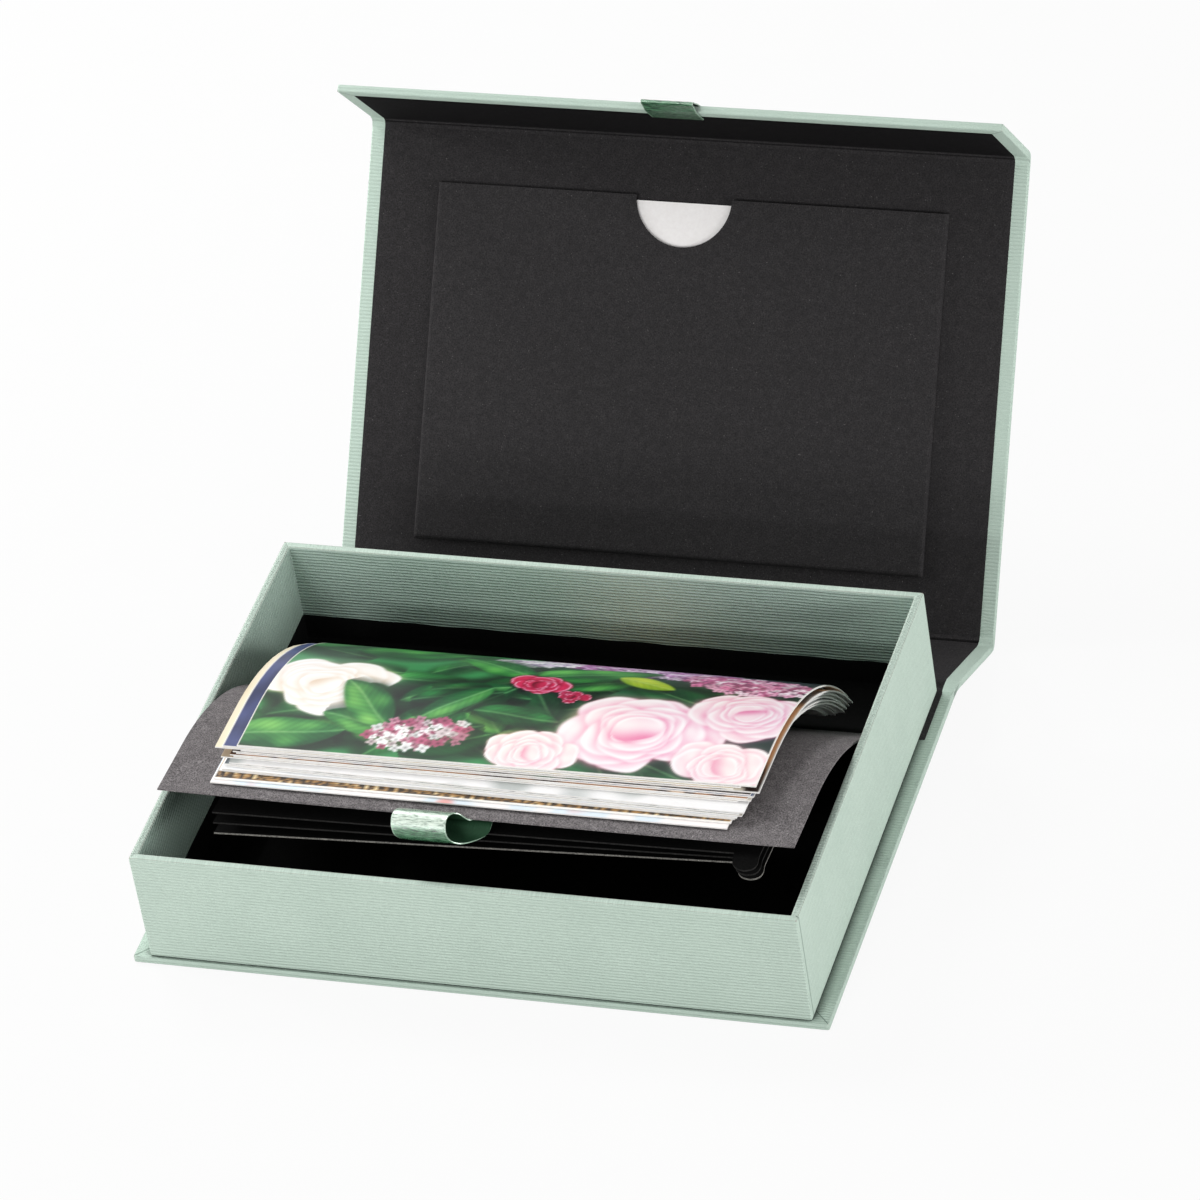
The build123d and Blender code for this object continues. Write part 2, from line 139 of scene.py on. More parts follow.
# ---------------------------------------------------------------- materials
def ribbed_paper(name, crest, groove, rib_height, rib_shade=0.22, crease=None):
    """Dyed, uncoated covering paper pressed with fine parallel ribs 1.1 mm apart. It is matt; its tone runs
    between the groove and crest colours by grain and cloud. Painted shade: each rib also adds a soft
    light and dark line that wavers a little, lighter on its crest and darker in its groove, as light
    would fall on it; short strokes of fibre break it up. A seam is darker. Painted shade too: a face
    that looks up from the foot of a wall, within crease millimetres of it, is darkened by ambient
    occlusion, as a contact shadow. The sheet attribute holds millimetres along the ribs, across them,
    and from a seam."""
    material, tree = new_finish(name)
    vector = add(tree, "Attribute", out="Vector", attribute_name="sheet")
    across = add(tree, "SeparateXYZ", {0: vector}, out=1)
    seam = add(tree, "SeparateXYZ", {0: vector}, out=2)
    wander = add(tree, "TexNoise", {"Vector": vector, "Scale": 0.06, "Detail": 2.0})
    line = add(tree, "Math", {0: wander, 1: 0.8, 2: across}, operation="MULTIPLY_ADD")
    turn = add(tree, "Math", {0: line, 1: 2 * pi / RIB_PITCH}, operation="MULTIPLY")
    wave = add(tree, "Math", {0: turn}, operation="SINE")
    wave = add(tree, "Math", {0: wave, 1: 0.5, 2: 0.5}, operation="MULTIPLY_ADD")
    strokes = add(tree, "Mapping", {"Vector": vector, "Scale": (0.5, 1.6, 1.0)})
    strokes = add(tree, "TexNoise", {"Vector": strokes, "Scale": 1.0, "Detail": 3.0, "Roughness": 0.6})
    uneven = add(tree, "Math", {0: strokes, 1: 0.9, 2: 0.45}, operation="MULTIPLY_ADD")
    ribs = add(tree, "Math", {0: wave, 1: uneven}, operation="MULTIPLY")
    grain = add(tree, "TexNoise", {"Vector": vector, "Scale": 3.0, "Detail": 3.0, "Roughness": 0.65})
    cloud = add(tree, "TexNoise", {"Vector": vector, "Scale": 0.04, "Detail": 2.0})
    height = add(tree, "Math", {0: grain, 1: 0.55, 2: ribs}, operation="MULTIPLY_ADD")
    # Painted shade: the ribs' wave lightens the tone on each crest and darkens it in each groove.
    tone = add(tree, "Math", {0: ribs, 1: rib_shade, 2: grain}, operation="MULTIPLY_ADD")
    tone = add(tree, "Math", {0: cloud, 1: 0.2, 2: tone}, operation="MULTIPLY_ADD")
    tone = add(tree, "MapRange", {"Value": tone, "From Min": 0.47, "From Max": 1.02})
    near = add(tree, "Math", {0: seam}, operation="ABSOLUTE")
    seam = add(tree, "MapRange", {
        "Value": near, "From Min": 0.1, "From Max": 0.3, "To Min": 0.75, "To Max": 0.0,
    })
    tone = add(tree, "Mix", {0: tone, 6: linear(groove), 7: linear(crest)}, out=2, data_type="RGBA")
    tone = add(tree, "Mix", {0: seam, 6: tone, 7: linear("#566A60")}, out=2, data_type="RGBA")
    # Painted shade: near the foot of a wall, faces that look up are darkened by ambient occlusion, as a
    # contact shadow.
    if crease is not None:
        open_sky_for_shade = add(tree, "AmbientOcclusion", {"Distance": crease * MM}, out=1, samples=8)
        foot = add(tree, "MapRange", {
            "Value": open_sky_for_shade, "From Min": 0.44, "From Max": 0.86, "To Min": 1.0, "To Max": 0.0,
        })
        facing = add(tree, "NewGeometry", out="True Normal")
        facing = add(tree, "SeparateXYZ", {0: facing}, out=2)
        facing = add(tree, "MapRange", {"Value": facing, "From Min": 0.7, "From Max": 0.9})
        foot = add(tree, "Math", {0: foot, 1: facing}, operation="MULTIPLY")
        tone = add(tree, "Mix", {0: foot, 6: tone, 7: linear("#0F1C16")}, out=2, data_type="RGBA")
    normal = add(tree, "Bump", {"Height": height, "Distance": rib_height * MM})
    shader = add(tree, "BsdfPrincipled", {
        "Base Color": tone, "Roughness": 0.75, "Specular IOR Level": 0.25, "Normal": normal,
    })
    add(tree, "OutputMaterial", {"Surface": shader})
    return material


def flecked_paper(name, base, fleck, speck, roughness, gloss):
    """Dyed paper or card with fibres of a paler shade all through it and a few bright specks: matt, and
    uneven from fibre to fibre. The fibres are drawn 0.4 mm wide, coarser than real, so that they show."""
    material, tree = new_finish(name)
    vector = add(tree, "TexCoord", out="Object")
    fibre = add(tree, "TexNoise", {"Vector": vector, "Scale": 2500.0, "Detail": 3.0, "Roughness": 0.7})
    pulp = add(tree, "TexNoise", {"Vector": vector, "Scale": 420.0, "Detail": 3.0})
    share = add(tree, "MapRange", {"Value": fibre, "From Min": 0.36, "From Max": 0.64})
    patch = add(tree, "MapRange", {"Value": pulp, "From Min": 0.2, "From Max": 0.7, "To Min": 0.45})
    share = add(tree, "Math", {0: patch, 1: share}, operation="MULTIPLY")
    spot = add(tree, "TexNoise", {"Vector": vector, "Scale": 2100.0, "Detail": 1.0})
    spot = add(tree, "MapRange", {"Value": spot, "From Min": 0.73, "From Max": 0.8})
    tone = add(tree, "Mix", {0: share, 6: linear(base), 7: linear(fleck)}, out=2, data_type="RGBA")
    tone = add(tree, "Mix", {0: spot, 6: tone, 7: linear(speck)}, out=2, data_type="RGBA")
    normal = add(tree, "Bump", {"Height": fibre, "Distance": 0.03 * MM, "Strength": 0.8})
    shader = add(tree, "BsdfPrincipled", {
        "Base Color": tone, "Roughness": roughness, "Specular IOR Level": gloss, "Normal": normal,
    })
    add(tree, "OutputMaterial", {"Surface": shader})
    return material


def satin_ribbon(name):
    """Face of a woven satin ribbon in deep green. Its smooth floats shine. Painted sheen: round the crown
    of a bend a pale band in short strokes lies across the ribbon, standing in for light on the crinkled
    floats.
    The woven edges are paler. The sheet attribute holds millimetres across, along from the middle of the
    painted sheen, and the edge's share."""
    material, tree = new_finish(name)
    vector = add(tree, "Attribute", out="Vector", attribute_name="sheet")
    edge = add(tree, "SeparateXYZ", {0: vector}, out=2)
    weft = add(tree, "Mapping", {"Vector": vector, "Scale": (0.35, 2.4, 1.0)})
    weft = add(tree, "TexNoise", {"Vector": weft, "Scale": 1.0, "Detail": 3.0, "Roughness": 0.65})
    crinkle = add(tree, "Mapping", {"Vector": vector, "Scale": (0.8, 1.6, 1.0)})
    crinkle = add(tree, "TexNoise", {"Vector": crinkle, "Scale": 1.0, "Detail": 4.0, "Roughness": 0.75})
    strokes = add(tree, "MapRange", {"Value": weft, "From Min": 0.4, "From Max": 0.62})
    tone = add(
        tree, "Mix", {0: strokes, 6: linear("#1D4D30"), 7: linear("#5F8F6D")}, out=2, data_type="RGBA",
    )
    # Painted sheen: the tone goes pale within 2.6 mm of the sheen's middle, broken into thread strokes.
    run = add(tree, "SeparateXYZ", {0: vector}, out=1)
    off_sheen_centre = add(tree, "Math", {0: run}, operation="ABSOLUTE")
    painted_sheen = add(tree, "MapRange", {
        "Value": off_sheen_centre, "From Min": 1.4, "From Max": 2.6, "To Min": 1.0, "To Max": 0.0,
    })
    threads = add(tree, "MapRange", {"Value": weft, "From Min": 0.36, "From Max": 0.56, "To Min": 0.25})
    painted_sheen = add(tree, "Math", {0: painted_sheen, 1: threads}, operation="MULTIPLY")
    tone = add(tree, "Mix", {0: painted_sheen, 6: tone, 7: linear("#DCEBDD")}, out=2, data_type="RGBA")
    edge_share = add(tree, "Math", {0: edge, 1: 0.6}, operation="MULTIPLY")
    tone = add(tree, "Mix", {0: edge_share, 6: tone, 7: linear("#B4CFBA")}, out=2, data_type="RGBA")
    height = add(tree, "Math", {0: crinkle, 1: 2.0, 2: weft}, operation="MULTIPLY_ADD")
    normal = add(tree, "Bump", {"Height": height, "Distance": 0.05 * MM})
    rough = add(tree, "Math", {0: weft, 1: 0.16, 2: 0.15}, operation="MULTIPLY_ADD")
    shader = add(tree, "BsdfPrincipled", {
        "Base Color": tone, "Metallic": 0.1, "Roughness": rough, "Specular IOR Level": 0.9,
        "Coat Weight": 0.9, "Coat Roughness": 0.2, "Normal": normal, "Coat Normal": normal,
    })
    add(tree, "OutputMaterial", {"Surface": shader})
    return material


def dull_ribbon(name):
    """Back of a single-faced satin ribbon: matt, with fine warp lines along it. Its dark green is partly
    the back's own duller tone and partly painted shade, for the shade on the ribbon's inner side.
    """
    material, tree = new_finish(name)
    vector = add(tree, "Attribute", out="Vector", attribute_name="sheet")
    warp = add(tree, "Mapping", {"Vector": vector, "Scale": (5.0, 0.4, 1.0)})
    warp = add(tree, "TexNoise", {"Vector": warp, "Scale": 1.0, "Detail": 2.0})
    tone = add(tree, "Mix", {0: warp, 6: linear("#112B1B"), 7: linear("#23472F")}, out=2, data_type="RGBA")
    normal = add(tree, "Bump", {"Height": warp, "Distance": 0.05 * MM})
    shader = add(tree, "BsdfPrincipled", {
        "Base Color": tone, "Roughness": 0.7, "Specular IOR Level": 0.15, "Normal": normal,
    })
    add(tree, "OutputMaterial", {"Surface": shader})
    return material


def smooth_card(name, base, fibre_colour):
    """Smooth uncoated index card: a faint cloud of fibre, matt."""
    material, tree = new_finish(name)
    vector = add(tree, "TexCoord", out="Object")
    fibre = add(tree, "TexNoise", {"Vector": vector, "Scale": 900.0, "Detail": 3.0, "Roughness": 0.6})
    tone = add(
        tree, "Mix", {0: fibre, 6: linear(base), 7: linear(fibre_colour)}, out=2, data_type="RGBA",
    )
    normal = add(tree, "Bump", {"Height": fibre, "Distance": 0.01 * MM})
    shader = add(tree, "BsdfPrincipled", {
        "Base Color": tone, "Roughness": 0.65, "Specular IOR Level": 0.25, "Normal": normal,
    })
    add(tree, "OutputMaterial", {"Surface": shader})
    return material


def photo_print(name):
    """Colour photographic paper, resin coated: a dye image under a smooth glossy skin, with very fine
    grain. The image attribute holds the picture's colours."""
    material, tree = new_finish(name)
    image = add(tree, "Attribute", out="Color", attribute_name="image")
    vector = add(tree, "Attribute", out="Vector", attribute_name="sheet")
    grain = add(tree, "TexNoise", {"Vector": vector, "Scale": 1.6, "Detail": 3.0, "Roughness": 0.7})
    share = add(tree, "MapRange", {"Value": grain, "From Min": 0.3, "From Max": 0.7, "To Max": 0.12})
    tone = add(
        tree, "Mix", {0: share, 6: image, 7: linear("#FFFFFF")}, out=2, data_type="RGBA",
        blend_type="SOFT_LIGHT",
    )
    shader = add(tree, "BsdfPrincipled", {
        "Base Color": tone, "Roughness": 0.32, "Specular IOR Level": 0.28,
        "Coat Weight": 0.12, "Coat Roughness": 0.06,
    })
    add(tree, "OutputMaterial", {"Surface": shader})
    return material


def photo_back(name):
    """Back and cut edge of photographic paper: white resin-coated paper, slightly warm."""
    material, tree = new_finish(name)
    vector = add(tree, "TexCoord", out="Object")
    grain = add(tree, "TexNoise", {"Vector": vector, "Scale": 700.0, "Detail": 2.0})
    tone = add(
        tree, "Mix", {0: grain, 6: linear("#F3F2F0"), 7: linear("#DEDCD8")}, out=2, data_type="RGBA",
    )
    shader = add(tree, "BsdfPrincipled", {"Base Color": tone, "Roughness": 0.45})
    add(tree, "OutputMaterial", {"Surface": shader})
    return material


def greyboard(name):
    """Solid board of recycled fibre: grey-brown, rough, flecked dark and light."""
    material, tree = new_finish(name)
    vector = add(tree, "TexCoord", out="Object")
    fibre = add(tree, "TexNoise", {"Vector": vector, "Scale": 1400.0, "Detail": 4.0, "Roughness": 0.7})
    share = add(tree, "MapRange", {"Value": fibre, "From Min": 0.3, "From Max": 0.75})
    tone = add(
        tree, "Mix", {0: share, 6: linear("#77706A"), 7: linear("#B7B0A6")}, out=2, data_type="RGBA",
    )
    normal = add(tree, "Bump", {"Height": fibre, "Distance": 0.05 * MM})
    shader = add(tree, "BsdfPrincipled", {"Base Color": tone, "Roughness": 0.9, "Normal": normal})
    add(tree, "OutputMaterial", {"Surface": shader})
    return material


def rolled_metal(name, base, roughness):
    """Plated sheet metal: bright, with fine lines from the rollers along X."""
    material, tree = new_finish(name)
    vector = add(tree, "TexCoord", out="Object")
    lines = add(tree, "Mapping", {"Vector": vector, "Scale": (120.0, 3000.0, 3000.0)})
    lines = add(tree, "TexNoise", {"Vector": lines, "Scale": 1.0, "Detail": 3.0})
    rough = add(tree, "Math", {0: lines, 1: 0.15, 2: roughness}, operation="MULTIPLY_ADD")
    shader = add(tree, "BsdfPrincipled", {"Base Color": linear(base), "Metallic": 1.0, "Roughness": rough})
    add(tree, "OutputMaterial", {"Surface": shader})
    return material


def studio_paper(name):
    """Seamless white background paper: matt. To the camera it is mostly plain white and partly lit, so that
    it is white around the box and still holds a soft shadow under it."""
    material, tree = new_finish(name)
    vector = add(tree, "TexCoord", out="Object")
    grain = add(tree, "TexNoise", {"Vector": vector, "Scale": 60.0, "Detail": 2.0})
    tone = add(
        tree, "Mix", {0: grain, 6: linear("#CFCFCE"), 7: linear("#C6C6C5")}, out=2, data_type="RGBA",
    )
    paper = add(tree, "BsdfPrincipled", {"Base Color": tone, "Roughness": 0.95, "Specular IOR Level": 0.0})
    white = add(tree, "Emission", {"Color": linear("#FFFFFF"), "Strength": 1.0})
    seen = add(tree, "LightPath", out="Is Camera Ray")
    share = add(tree, "Math", {0: seen, 1: 0.93}, operation="MULTIPLY")
    shader = add(tree, "MixShader", {0: share, 1: paper, 2: white})
    add(tree, "OutputMaterial", {"Surface": shader})
    return material


MINT = ribbed_paper("mint_ribbed_paper_tray", "#D0E0D4", "#B1C4B8", 0.24)
# The same paper inside the tray, where light rakes it: its ribs are drawn higher to show at this size,
# # and its groove colour is darker, for stronger painted shade in the ribs.
MINT_INSIDE = ribbed_paper("mint_ribbed_paper_inside", "#D2E6DA", "#94ADA0", 0.5)
# The same paper on the case, its colours a little darker than on the tray: painted shade.
MINT_CASE = ribbed_paper("mint_ribbed_paper_case", "#C8D9CD", "#AEC1B5", 0.1, rib_shade=0.08)
# On the base, where the paper shows round the foot of the tray, its colours are a little darker than on
# # the tray, as painted shade, and more painted shade darkens it within 5 mm of the foot: a contact shadow.
MINT_BASE = ribbed_paper("mint_ribbed_paper_base", "#C6D7CB", "#ADC0B4", 0.16, rib_shade=0.14, crease=5.0)
LINING = flecked_paper("black_lining_paper", "#232223", "#3A3839", "#5E5C5C", 0.9, 0.08)
# The flap's lining faces down, away from the lamps, so the paper there is drawn darker.
LINING_FLAP = flecked_paper("black_lining_paper_flap", "#111011", "#1D1C1D", "#363535", 0.9, 0.05)
LINER = flecked_paper("black_liner_paper", "#0B0B0B", "#151515", "#242424", 0.9, 0.05)
POCKET = flecked_paper("black_pocket_card", "#252425", "#3E3C3D", "#625F5F", 0.9, 0.08)
BLACK_CARD = flecked_paper("black_divider_card", "#080808", "#131313", "#2A2A2A", 0.8, 0.05)
# Cut edges of the black cards are drawn paler than their faces: painted highlight. One card's edges are
# palest: wear and painted highlight.
CARD_EDGE = flecked_paper("cut_edge_of_black_card", "#151515", "#333231", "#4C4B49", 0.8, 0.05)
LIT_WORN_EDGE = flecked_paper("lit_worn_cut_edge_of_black_card", "#4A4947", "#98958F", "#C6C3BC", 0.8, 0.1)
GREY_CARD = flecked_paper("speckled_black_card", "#444142", "#979293", "#CCC7C6", 0.85, 0.15)
WHITE_CARD = smooth_card("white_index_card", "#F8F6F5", "#E9E5E4")
SATIN = satin_ribbon("green_satin_ribbon")
SATIN_BACK = dull_ribbon("green_satin_ribbon_back")
PRINT = photo_print("glossy_photo_print")
PRINT_BACK = photo_back("photo_paper_back")
GREYBOARD = greyboard("recycled_greyboard")
STEEL = rolled_metal("tinned_steel_plate", "#B9B9B6", 0.35)
MAGNET = rolled_metal("nickel_plated_magnet", "#C4C2BE", 0.22)


# ---------------------------------------------------------------- meshes
def grid_faces(rows, columns, closed=False, start=0):
    """Quads of a grid of points numbered row by row. A closed grid joins its last column to its first."""
    index = start + np.arange(rows * columns).reshape(rows, columns)
    after = np.roll(index, -1, 1) if closed else index[:, 1:]
    before = index if closed else index[:, :-1]
    quads = np.stack([before[:-1], before[1:], after[1:], after[:-1]], -1)
    return quads.reshape(-1, 4).tolist()


def capped_rings(rows, columns):
    """Quads of rings of points numbered ring by ring, and a flat face over the first and the last."""
    faces = grid_faces(rows, columns, closed=True)
    return faces + [list(range(columns)), list(range((rows - 1) * columns, rows * columns))]


def ring_faces(upper, lower):
    """Quads between two rings of as many point numbers each."""
    return np.stack([upper, np.roll(upper, -1), np.roll(lower, -1), lower], -1).tolist()


def make_piece(name, points, faces, materials, sheet=None, image=None, face_material=None, crease=38):
    """A mesh object from points and faces, with its faces turned outwards and its edges smooth up to a
    crease angle. sheet holds the paper's own coordinates of each point, image its colour."""
    mesh = bpy.data.meshes.new(name)
    mesh.from_pydata(np.asarray(points, float).reshape(-1, 3).tolist(), [], faces)
    shell = bmesh.new()
    shell.from_mesh(mesh)
    bmesh.ops.recalc_face_normals(shell, faces=shell.faces)
    shell.to_mesh(mesh)
    shell.free()
    for material in materials:
        mesh.materials.append(material)
    if face_material is not None:
        mesh.polygons.foreach_set("material_index", np.asarray(face_material, np.int32))
    if sheet is not None:
        own = mesh.attributes.new("sheet", "FLOAT_VECTOR", "POINT")
        own.data.foreach_set("vector", np.asarray(sheet, np.float32).ravel())
    if image is not None:
        own = mesh.attributes.new("image", "FLOAT_COLOR", "POINT")
        own.data.foreach_set("color", np.asarray(image, np.float32).ravel())
    mesh.polygons.foreach_set("use_smooth", np.ones(len(mesh.polygons), bool))
    mesh.set_sharp_from_angle(angle=radians(crease))
    piece = bpy.data.objects.new(name, mesh)
    bpy.context.scene.collection.objects.link(piece)
    return piece


def stand_in(piece, slot, body, *nodes):
    """The piece rides on a body and stands for CAD nodes, which are hidden. The slot is not used."""
    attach(piece, body)
    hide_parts(*nodes)
    return piece


def outline(width, near, far, radius, inset, per_side=24, per_corner=7):
    """Points round a rectangle with quarter-circle corners, drawn in by inset. The corner's radius
    shrinks by the inset, and stays a little above nothing so that no two points meet."""
    round_off = max(radius - inset, 0.1)
    right = width / 2 - inset - round_off
    low, high = near + inset + round_off, far - inset - round_off
    centres = np.array([(right, low), (right, high), (-right, high), (-right, low)])
    turn = radians(90) * (np.arange(4)[:, None] - 1 + np.linspace(0, 1, per_corner))
    arcs = centres[:, None] + round_off * np.stack([np.cos(turn), np.sin(turn)], -1)
    share = np.linspace(0, 1, per_side + 1)[1:, None]
    sides = arcs[:, -1, None] * (1 - share) + np.roll(arcs, -1, 0)[:, 0, None] * share
    return np.concatenate([arcs, sides[:, :-1]], 1).reshape(-1, 2)


def rounded_edge(inset, low, radius, steps=5, upper=True):
    """Quarter circle at the edge of a sheet, as insets and heights, up from low or up to it."""
    turn = np.linspace(0, pi / 2, steps)
    if upper:
        return inset + radius * (1 - np.cos(turn)), low - radius + radius * np.sin(turn)
    return inset + radius * (1 - np.sin(turn)), low + radius - radius * np.cos(turn)


def covered_shell(name, plane, width, near, far, insets, heights, material, corner=0.7, mitre_at=None):
    """A board's skin: rings round the board, each drawn in and raised by its inset and height, and
    closed by a flat face at both ends. The ribs run across the board. At the end that mitre_at names, a
    seam runs in from each corner at 45 degrees."""
    rings = [outline(width, near, far, corner, inset) for inset in insets]
    flat = np.array(rings)
    right, along = flat[..., 0], flat[..., 1]
    up = np.broadcast_to(np.array(heights)[:, None], along.shape)
    points = place(plane, right, along, up)
    faces = capped_rings(*along.shape)
    edge_band, past_near = 2.0, 5.0
    nearness = np.minimum(np.abs(along - near), np.abs(far - along))
    outward = np.sign(along - near - past_near)
    wrapped = along + np.where(nearness < edge_band, (up - PANEL / 2) * outward, 0)
    seam = np.full(up.shape, NO_SEAM)
    if mitre_at is not None:
        ending = (up > PANEL - PAPER) & (np.abs(along - mitre_at) < (far - near) / 2)
        seam[ending] = (width / 2 - np.abs(right) - nearness + 0.1)[ending]
    sheet = np.stack([right, wrapped, seam], -1)
    return make_piece(name, points, faces, [material], sheet=sheet)


def case_board(name, plane, near, far, body, mitre_at=None, paper=MINT_CASE):
    """Covering paper round a case board: its outer face, rounded edges, and the turn-ins inside, mitred
    at the corners of the case."""
    out_in, out_up = rounded_edge(0.0, 0.0, EDGE_ROUND, upper=False)
    top_in, top_up = rounded_edge(0.0, TURNED_TOP, EDGE_ROUND)
    insets = np.concatenate([[9.0, 3.0], out_in, top_in, [TURN_IN + 1.2, TURN_IN + 1.2]])
    heights = np.concatenate([[0.0, 0.0], out_up, top_up, [TURNED_TOP, PANEL - 0.6]])
    shell = covered_shell(name, plane, CASE_WIDTH, near, far, insets, heights, paper, mitre_at=mitre_at)
    stand_in(shell, "mint_ribbed_paper", body, name)


def lining_sheet(name, plane, near, far, body, width=LINING_WIDTH, paper=LINING):
    """Black lining glued over the turn-ins: a thin sheet with soft edges and slightly rounded corners."""
    top_in, top_up = rounded_edge(0.0, PANEL, 0.1, steps=4)
    insets = np.concatenate([[2.0, 0.0], top_in, [3.0, 9.0]])
    heights = np.concatenate([[PANEL - 0.3, PANEL - 0.3], top_up, [PANEL, PANEL]])
    shell = covered_shell(name, plane, width, near, far, insets, heights, paper, corner=0.35)
    stand_in(shell, "black_speckled_paper", body, name)


# ---------------------------------------------------------------- case
def build_case():
    """The four covered boards and their linings."""
    case_board("base_cover_paper", BASE, 0.0, BASE_END, "tray", mitre_at=0.0, paper=MINT_BASE)
    case_board("spine_cover_paper", SPINE, GUTTER_HALF, SPINE_END, "spine")
    case_board("lid_cover_paper", LID, GUTTER_HALF, LID_END, "lid")
    case_board("flap_cover_paper", FLAP, GUTTER_HALF, FLAP_END, "flap", mitre_at=FLAP_END)
    lining_sheet("base_lining", BASE, BASE_END - BASE_STRIP, BASE_END, "tray", width=LINING_WIDTH + 2.0)
    lining_sheet("spine_lining", SPINE, GUTTER_HALF, SPINE_END, "spine")
    lining_sheet("lid_lining", LID, GUTTER_HALF, LID_END, "lid")
    lining_sheet("flap_lining", FLAP, GUTTER_HALF, FLAP_END - TURN_IN, "flap", paper=LINING_FLAP)


def bezier(points, steps):
    """Bezier curve through the world's Y and Z in millimetres: each level of points is blended pair by
    pair by the same share, until one is left. A point is a sheet's plane, and how far along and up it."""
    level = np.stack([
        (origin + along * y_way + up * z_way)[1:] for (origin, y_way, z_way), along, up in points
    ])[:, None]
    share = np.linspace(0, 1, steps)[:, None]
    while len(level) > 1:
        level = level[:-1] * (1 - share) + level[1:] * share
    return level[0]


def fold_section(before, after, start):
    """Side views of the paper across a gutter, each a Bezier curve. Outside, the covering paper leaves
    one board, dips and joins the next. Inside, the turn-in goes straight over, and the lining is pressed
    down into the gutter by a sine squared and comes up again."""
    end = GUTTER_HALF
    outer = bezier([
        (before, start - 1.4, 0.06), (before, start - 0.7, -0.04), (before, start + end, 0.0),
        (after, 0.0, 0.0), (after, end + 0.7, -0.04), (after, end + 1.4, 0.06),
    ], 24)
    hump = PANEL + 0.25
    turn_in = bezier([
        (after, end + 2.0, PANEL - 0.14), (after, end + 1.0, PANEL - 0.02), (after, end + 0.2, hump),
        (after, end + 0.2, hump), (before, start - 0.2, hump), (before, start - 0.2, hump),
        (before, start - 1.0, PANEL - 0.02), (before, start - 2.0, PANEL - 0.14),
    ], 40)
    corners = bezier([(after, end - 0.1, PANEL), (before, start + 0.1, PANEL)], 2)
    chord = corners[1] - corners[0]
    share = np.clip((turn_in - corners[0]) @ chord / (chord @ chord), 0, 1)[:, None]
    inward = outer.mean(0) - corners.mean(0)
    depth = 1.3
    groove = turn_in + depth * np.sin(pi * share) ** 2 * inward / np.linalg.norm(inward)
    return outer, turn_in, groove


def build_fold(name, before, after, start, wider=0.0):
    """One paper fold between two boards: its side view carried along X, of covering paper at both ends
    and lined between them. The lining may be wider at the board before the fold than after it."""
    outer, turn_in, groove = fold_section(before, after, start)
    half, lined_half = CASE_WIDTH / 2, LINING_WIDTH / 2
    left = [
        (-half + 0.05, 0.88, turn_in), (-half + 0.3, 1.0, turn_in), (-lined_half, 1.0, turn_in),
        (-lined_half + 0.02, 1.0, groove), (-50, 1.0, groove),
    ]
    stations = left + [(0, 1.0, groove)] + [(-x, size, inner) for x, size, inner in left[::-1]]
    middle = np.concatenate([outer, turn_in]).mean(0)
    sections = np.array([np.concatenate([outer, inner]) for _, _, inner in stations])
    sizes = np.array([size for _, size, _ in stations])[:, None, None]
    x = np.array([x for x, _, _ in stations])[:, None] + np.zeros(sections.shape[:2])
    growth = np.sign(x) * wider * np.concatenate([np.zeros(len(outer)), np.linspace(0, 1, len(turn_in))])
    x += np.where(np.abs(np.abs(x) - lined_half) < 0.1, growth, 0.0)
    points = np.concatenate([x[..., None], middle + (sections - middle) * sizes], -1)
    rows, columns = points.shape[:2]
    faces = capped_rings(rows, columns)
    lined = np.zeros((rows - 1, columns), int)
    lined[2:-2, len(outer):-1] = 1
    section = points[len(left), :, 1:]
    run = start + np.concatenate([[0], np.cumsum(np.linalg.norm(np.diff(section, axis=0), axis=1))])
    sheet = np.stack(np.broadcast_arrays(points[..., 0], run, NO_SEAM), -1)
    strip = make_piece(
        name, points * MM, faces, [MINT_CASE, LINING], sheet=sheet,
        face_material=np.concatenate([lined.ravel(), [0, 0]]),
    )
    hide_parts(name)
    low, high = place(before, 0.0, start, PANEL / 4), place(after, 0.0, GUTTER_HALF, PANEL / 4)
    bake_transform(strip)


def build_folds():
    build_fold("base_spine_hinge", BASE, SPINE, BASE_END, wider=1.0)
    build_fold("spine_lid_hinge", SPINE, LID, SPINE_END)
    build_fold("lid_flap_hinge", LID, FLAP, LID_END)


